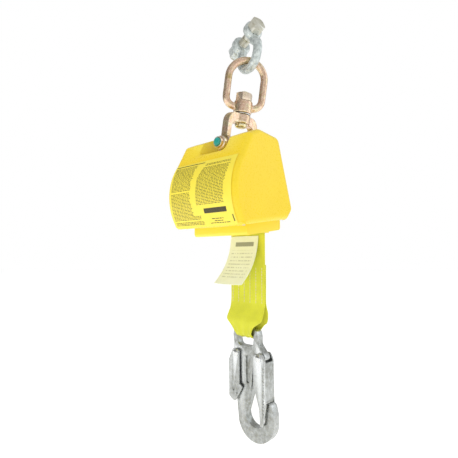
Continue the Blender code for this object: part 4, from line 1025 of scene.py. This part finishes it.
def smooth_rows(points, per_span):
    """Catmull-Rom rows through tuples of numbers."""
    rows = []
    for k in range(len(points) - 1):
        p0, p1 = points[max(k - 1, 0)], points[k]
        p2, p3 = points[k + 1], points[min(k + 2, len(points) - 1)]
        for step in range(per_span):
            t = step / per_span
            rows.append(tuple(0.5 * (2 * b + (c - a) * t + (2 * a - 5 * b + 4 * c - d) * t * t
                                     + (3 * b - a - 3 * c + d) * t ** 3)
                              for a, b, c, d in zip(p0, p1, p2, p3)))
    rows.append(points[-1])
    return rows


def band(rows, thick, columns=36, folds=1.5, lift=0.9):
    """A web through rows of (y, z, left, right, gather): its edges and how far it is drawn into folds."""
    shape = bmesh.new()
    sheets = ([], [])
    for k, (y, z, left, right, gather) in enumerate(rows):
        before, after = rows[max(k - 1, 0)], rows[min(k + 1, len(rows) - 1)]
        along = Vector((after[0] - before[0], after[1] - before[1])).normalized()
        normal = Vector((along.y, -along.x))
        for sheet, side in zip(sheets, (0.5, -0.5)):
            line = []
            for c in range(columns + 1):
                u = 2 * c / columns - 1
                x = u * (right if u > 0 else left)
                rim = 1.0 - 0.45 * max(0.0, (abs(u) - 0.93) / 0.07) ** 2
                fold = gather * lift * (0.5 - 0.5 * math.cos(2 * math.pi * folds * (u + 0.13)))
                offset = normal * (side * thick * rim + fold)
                line.append(shape.verts.new((x, y + offset.x, z + offset.y)))
            sheet.append(line)
    over, under = sheets
    last = len(rows) - 1
    for k in range(last):
        for c in range(columns):
            shape.faces.new([over[k][c], over[k][c + 1], over[k + 1][c + 1], over[k + 1][c]])
            shape.faces.new([under[k][c], under[k + 1][c], under[k + 1][c + 1], under[k][c + 1]])
        for c in (0, columns):
            shape.faces.new([over[k][c], over[k + 1][c], under[k + 1][c], under[k][c]])
    for k in (0, last):
        for c in range(columns):
            shape.faces.new([over[k][c], over[k][c + 1], under[k][c + 1], under[k][c]])
    return shape


def make_web(looks):
    half = WEB_WIDTH / 2
    upper = [(0.0, STRAP_TOP + (STRAP_BOTTOM - STRAP_TOP) * k / 24, half, half, 0.0) for k in range(25)]
    strap = put("web_strap_woven", band(upper, WEB_THICK), LINE, looks["web"])
    strap.data.shade_smooth()
    strap.data.set_sharp_from_angle(angle=math.radians(50))
    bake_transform(strap)
    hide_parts("web_strap")

    bend = math.hypot(EYE_BAR_RADIUS, HOOK_THICK / 2) + 2 * GAP + WEB_THICK / 2
    under = EYE_BAR_RADIUS * HOOK_SIZE + GAP + WEB_THICK
    eye = LOOP_CENTRE
    ply = WEB_THICK + GAP
    points = [(0, STRAP_BOTTOM + 0.2, half, half, 0), (0, -135, half, half, 0), (0, -153, half, half, 0),
              (-1.6, -162, half, half, 0.0), (-4.2, -168, half + 0.6, half + 0.2, 0.05),
              (-bend, -173.5, half + 0.2, half - 0.6, 0.15),
              (-bend - 0.2, -179, half - 5.5, half - 9.0, 0.4),
              (-bend, eye, 11.4, 9.8, 0.8)]
    loop = [(bend * math.cos(math.radians(a)), eye + under * math.sin(math.radians(a)), 9.9, 9.8, 1.0)
            for a in (212, 240, 270, 300, 330)]
    points += loop + [(bend, eye, 11, 9.8, 0.8), (bend + 0.2, -179, half - 5, half - 7, 0.4),
                      (bend - 0.6, -175, half - 1, half - 2, 0.1), (bend * 0.6 + 0.6, -166, half, half, 0),
                      (ply, -156, half, half, 0), (ply, -140, half, half, 0),
                      (ply, TAIL_PLY_TOP, half, half, 0)]
    tail = put("web_loop_sewn", band(smooth_rows(points, 6), WEB_THICK, 48), LINE, looks["web"])
    settle(tail, "line", "web", "web_tail", sharp=60)

    threads = []
    length, pitch = 2.2, 3.0
    for x in (-19.0, -11.5, -4.0, 3.5, 11.0, 18.5):
        z = TAIL_PLY_TOP - 3
        while z > -158:
            for y in (-WEB_THICK / 2 - 0.05, ply + WEB_THICK / 2 + 0.05):
                threads.append(turned(eased(0.38, z - length, z, 0.3, 2), 'Z', (x, y, 0), 8))
            z -= pitch
    stitches = put("web_stitching", merged(threads), LINE, looks["thread"])
    settle(stitches, "line", "web")


def make_tag(looks):
    """A cloth tag that curls forward as it hangs."""
    (width, length), thick = TAG_SIZE, 0.45
    rows, columns = 36, 18
    top = TAG_TOP
    y, z, spine = -WEB_THICK / 2 - GAP - thick, top, []
    for k in range(rows + 1):
        share = k / rows
        lean = math.radians(4 + 42 * min(share * 1.25, 1.0) ** 1.1)
        spine.append((y, z, lean))
        y -= math.sin(lean) * length / rows
        z -= math.cos(lean) * length / rows
    shape = bmesh.new()
    sheets = ([], [])
    for k, (y, z, lean) in enumerate(spine):
        normal = Vector((0, -math.cos(lean), math.sin(lean)))
        for sheet, side in zip(sheets, (0.5, -0.5)):
            line = []
            for c in range(columns + 1):
                u = 2 * c / columns - 1
                curl = 0.9 * u * u * (k / rows)
                spot = Vector((TAG_SHIFT + u * width / 2, y, z)) + normal * (side * thick + curl)
                line.append(shape.verts.new(spot))
            sheet.append(line)
    over, under = sheets
    for k in range(rows):
        for c in range(columns):
            shape.faces.new([over[k][c], over[k][c + 1], over[k + 1][c + 1], over[k + 1][c]])
            shape.faces.new([under[k][c], under[k + 1][c], under[k + 1][c + 1], under[k][c + 1]])
        for c in (0, columns):
            shape.faces.new([over[k][c], over[k + 1][c], under[k + 1][c], under[k][c]])
    for k in (0, rows):
        for c in range(columns):
            shape.faces.new([over[k][c], over[k][c + 1], under[k][c + 1], under[k][c]])
    shares = shape.loops.layers.uv.new("shares")
    place_of = {vertex: (c / columns, 1 - k / rows) for sheet in sheets for k, line in enumerate(sheet)
                for c, vertex in enumerate(line)}
    for face in shape.faces:
        for loop in face.loops:
            loop[shares].uv = place_of[loop.vert]
    tag = put("tag_cloth_strip", shape, LINE, looks["tag"])
    settle(tag, "line", "tag", "web_tag", sharp=60)


# ---------------------------------------------------------------- snap hook

def hook_outline():
    eye = [(-EYE_HALF, -4, 4), (-EYE_HALF + 1.5, EYE_BAR_RADIUS, 4), (EYE_HALF - 1.5, EYE_BAR_RADIUS, 4),
           (EYE_HALF, -4, 4), (EYE_HALF, -11, 4)]
    horn = [(x, z, 0) for x, z in arc(GATE_PIVOT, HORN_RADIUS, 60, -130, 24)]
    throat = [(10.5, -34, 3), (7.5, -60, 8)]
    bowl_in = [(x, z, 0) for x, z in arc((13.2, -82), 12.5, 178, 345, 26)]
    nose = [(26, -68, 2), (33, -66, 4), (36.4, -78, 6)]
    bowl_out = [(x, z, 0) for x, z in arc((13.5, -86.4), 23.0, -5, -165, 32)]
    spine = [(-11.5, -68, 8), (-11.5, -48, 10), (-15.8, -30, 8), (-15.4, -12, 5)]
    return filleted(sized(eye + horn + throat + bowl_in + nose + bowl_out + spine), 6)


def make_hook(looks):
    half = HOOK_THICK / 2
    hook = put("hook_forging", prism(hook_outline(), -half, half, 'XZ'), HOOK, looks["zinc"])
    hole = filleted(sized([(-EYE_HOLE_HALF, -EYE_BAR_RADIUS, 3), (EYE_HOLE_HALF, -EYE_BAR_RADIUS, 3),
                           (EYE_HOLE_HALF - 2, -14.5, 5), (-EYE_HOLE_HALF + 2, -14.5, 5)]), 8)
    boolean(hook, prism(hole, -9, 9, 'XZ'), HOOK)
    panel = filleted(sized([(1.0, -24, 2), (7.0, -24, 2), (5.4, -52, 2), (1.4, -52, 2)]), 5)
    for side in (-1, 1):
        low, high = sorted((side * (half - 1.3), side * (half + 2)))
        boolean(hook, prism(panel, low, high, 'XZ'), HOOK)
    rounded(hook, 1.35, 4, 38)
    bore = RIVET_RADIUS + GAP
    gate_pivot, lever_pivot = sized([GATE_PIVOT, LEVER_PIVOT])
    for x, z in (gate_pivot, lever_pivot):
        boolean(hook, rod(bore, -12, 12, 'Y', (x, 0, z), ease=0.1), HOOK)
    settle(hook, "hook", "zinc", "hook_body")
    outer = CHANNEL_WIDTH / 2
    for name, (x, z) in (("gate_rivet", gate_pivot), ("lever_rivet", lever_pivot)):
        head = outer + GAP
        angles = [math.pi / 2 * k / 8 for k in range(1, 9)]
        crown = [(RIVET_HEAD * math.sin(a), 1.4 * math.cos(a)) for a in angles]
        profile = [(0, -head - 1.4)] + [(r, -head - h) for r, h in crown] + [(RIVET_RADIUS, -head)]
        profile += [(RIVET_RADIUS, head)] + [(r, head + h) for r, h in reversed(crown)] + [(0, head + 1.4)]
        rivet = put(name + "_headed", turned(profile, 'Y', (x, 0, z), 40), HOOK, looks["rivet"])
        settle(rivet, "hook", "rivet", name)


def stamped(name, outline, hollow, place, look):
    """A folded sheet channel, open on one side, with eased edges."""
    half = CHANNEL_WIDTH / 2
    item = put(name, prism(sized(outline), -half, half, 'XZ'), place, look)
    boolean(item, prism(sized(hollow), -half + SHEET, half - SHEET, 'XZ'), place)
    return rounded(item, 0.55, 3, 38)


def dimples(item, place, spots, radius, sunk):
    """Press shallow round dents into both faces of a channel."""
    half = CHANNEL_WIDTH / 2
    for side in (-1, 1):
        balls = []
        for x, z in sized(spots):
            profile = [(0, -radius)] + [(radius * math.sin(a), -radius * math.cos(a))
                                        for a in [math.pi * k / 10 for k in range(1, 10)]] + [(0, radius)]
            balls.append(turned(profile, 'Y', (x, side * (half + radius - sunk), z), 14))
        boolean(item, merged(balls), place)


def make_gate(looks):
    outline = filleted([(-6.5, 3.5, 4), (5, 5.5, 4), (8.5, -2, 3), (9.0, -38, 3), (9.8, -45, 1),
                        (5.5, -66.5, 2.0), (1.8, -66.5, 1.2), (0.8, -50, 2), (-6.5, -28, 4)], 6)
    hollow = [(-12, 12), (14, 12), (14, -3.5), (7.2, -3.5), (7.4, -41.5), (20, -41.5), (20, -80), (-12, -80)]
    gate = stamped("gate_stamping", outline, hollow, GATE, looks["zinc"])
    dimples(gate, GATE, [(6.6 - 0.02 * k, -9 - 3.1 * k) for k in range(15)], 1.0, 0.45)
    boolean(gate, rod(RIVET_RADIUS + GAP, -12, 12, 'Y', ease=0.1), GATE)
    settle(gate, "gate", "zinc", "gate")


def make_lever(looks):
    outline = filleted([(-4.2, 4.2, 3.5), (4.2, 4.2, 3.5), (4.6, -31, 1.5), (9.0, -34, 1.5), (-1.5, -51, 2),
                        (-9.2, -46, 3), (-9.6, -8, 3)], 6)
    hollow = [(12, 12), (-14, 12), (-14, -8), (-8.0, -8), (-7.6, -46), (-7.6, -70), (14, -70)]
    lever = stamped("lock_lever_stamping", outline, hollow, LEVER, looks["zinc"])
    dimples(lever, LEVER, [(-3.0, -38.5), (1.4, -41.0)], 1.6, 0.6)
    boolean(lever, rod(RIVET_RADIUS + GAP, -12, 12, 'Y', ease=0.1), LEVER)
    settle(lever, "lever", "zinc", "lock_lever")


# ---------------------------------------------------------------- carried-over nodes

NODE_LOOKS = {
    "galvanised": ("shackle_cotter",),
    "steel": ("pin_clip", "yoke", "side_plate_left", "side_plate_right", "ratchet_ring", "drum_axle",
              "pawl_carrier", "pawl_a", "pawl_b"),
    "rivet": ("base_screw_1", "base_screw_2", "base_screw_3", "base_screw_4", "frame_rivet_1",
              "frame_rivet_2", "frame_rivet_3", "frame_rivet_4", "pawl_pin_a", "pawl_pin_b"),
    "guide": ("web_guide",),
    "brass_rivet": ("axle_bush_left", "axle_bush_right"),
    "lining": ("brake_lining",),
    "aluminium": ("spring_case", "spring_cover", "drum_flange_left", "drum_flange_right"),
    "spring_steel": ("power_spring", "gate_spring", "lever_spring"),
    "web": ("web_inner_run", "web_pack"),
}


def dress_nodes(looks):
    for look, nodes in NODE_LOOKS.items():
        for name in nodes:
            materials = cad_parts[name].data.materials
            materials.clear()
            materials.append(looks[look])


# ---------------------------------------------------------------- stage, light and camera

CAMERA_POINT = (0.2488, -0.3031, -0.2205)
CAMERA_AZIMUTH = 42.0
CAMERA_ELEVATION = -4.0
FOCAL_PIXELS = 400.0
PICTURE_PIXELS = 458.0
SENSOR = 36.0
FLOOR_DROP = 0.030


def make_camera():
    camera = bpy.data.objects.new("camera", bpy.data.cameras.new("camera"))
    bpy.context.scene.collection.objects.link(camera)
    camera.data.sensor_width = SENSOR
    camera.data.lens = SENSOR * FOCAL_PIXELS / PICTURE_PIXELS
    camera.data.clip_start = 0.01
    camera.location = CAMERA_POINT
    camera.rotation_euler = (math.radians(90 - CAMERA_ELEVATION), 0, math.radians(CAMERA_AZIMUTH))
    bpy.context.scene.camera = camera


def make_floor():
    low = CAD_BOX[0].z - FLOOR_DROP
    shape = bmesh.new()
    bmesh.ops.create_circle(shape, cap_ends=True, radius=6.0 / MM, segments=96)
    floor = put("floor", shape, Matrix.Translation((0, 0, low)))
    look = Look("pale_floor", (0.8, 0.95))
    look.colour(look.ramp(look.noise(4.0), [(0.3, (0.95, 0.95, 0.95)), (0.7, (0.97, 0.97, 0.97))]))
    look.shader.inputs["Emission Color"].default_value = (1.0, 1.0, 1.0, 1.0)
    look.shader.inputs["Emission Strength"].default_value = 0.50
    floor.data.materials.append(look.material)


def area_light(name, place, aim, size, power, colour=(1, 1, 1), mirrored=True):
    light = bpy.data.objects.new(name, bpy.data.lights.new(name, 'AREA'))
    light.data.shape = 'RECTANGLE'
    light.data.size, light.data.size_y = size
    light.data.energy = power
    light.data.color = colour
    light.location = place
    light.visible_glossy = mirrored
    light.rotation_euler = (Vector(aim) - Vector(place)).to_track_quat('-Z', 'Y').to_euler()
    bpy.context.scene.collection.objects.link(light)


def make_world():
    """White behind the object; the object itself is lit by a softer sky, greyer towards the front left."""
    world = bpy.data.worlds.new("studio")
    bpy.context.scene.world = world
    world.use_nodes = True
    tree = world.node_tree
    soft = tree.nodes["Background"]
    soft.inputs["Strength"].default_value = 0.66
    coords = tree.nodes.new("ShaderNodeTexCoord")
    toward = tree.nodes.new("ShaderNodeVectorMath")
    toward.operation = 'DOT_PRODUCT'
    toward.inputs[1].default_value = (-0.66, -0.72, 0.2)
    tree.links.new(coords.outputs["Generated"], toward.inputs[0])
    shade = tree.nodes.new("ShaderNodeValToRGB")
    shade.color_ramp.elements[0].position = 0.30
    shade.color_ramp.elements[0].color = (1.0, 1.0, 1.0, 1.0)
    shade.color_ramp.elements[1].position = 0.85
    shade.color_ramp.elements[1].color = (0.28, 0.28, 0.27, 1.0)
    tree.links.new(toward.outputs["Value"], shade.inputs["Fac"])
    tree.links.new(shade.outputs["Color"], soft.inputs["Color"])
    white = tree.nodes.new("ShaderNodeBackground")
    white.inputs["Color"].default_value = (1.0, 1.0, 1.0, 1.0)
    white.inputs["Strength"].default_value = 1.0
    seen = tree.nodes.new("ShaderNodeLightPath")
    choice = tree.nodes.new("ShaderNodeMixShader")
    tree.links.new(seen.outputs["Is Camera Ray"], choice.inputs["Fac"])
    tree.links.new(soft.outputs["Background"], choice.inputs[1])
    tree.links.new(white.outputs["Background"], choice.inputs[2])
    tree.links.new(choice.outputs["Shader"], tree.nodes["World Output"].inputs["Surface"])


def make_light():
    aim = (0, 0, -0.2)
    area_light("key", (0.5, -1.1, 0.8), aim, (0.5, 0.9), 4.0, mirrored=False)
    area_light("fill", (-0.9, -1.0, 0.0), aim, (1.0, 1.4), 7.5, mirrored=False)
    area_light("rim", (0.9, 0.8, 0.3), aim, (0.7, 1.2), 2.5, (0.90, 0.96, 1.0))
    bpy.context.scene.view_settings.view_transform = 'Standard'


def main():
    make_camera()
    looks = make_looks()
    dress_nodes(looks)
    make_shackle(looks)
    make_eye(looks)
    make_clevis(looks)
    make_pin(looks)
    opening = make_shell(looks)
    make_pan(looks, opening)
    make_label(looks)
    make_web(looks)
    make_tag(looks)
    make_hook(looks)
    make_gate(looks)
    make_lever(looks)
    make_floor()
    make_world()
    make_light()


main()
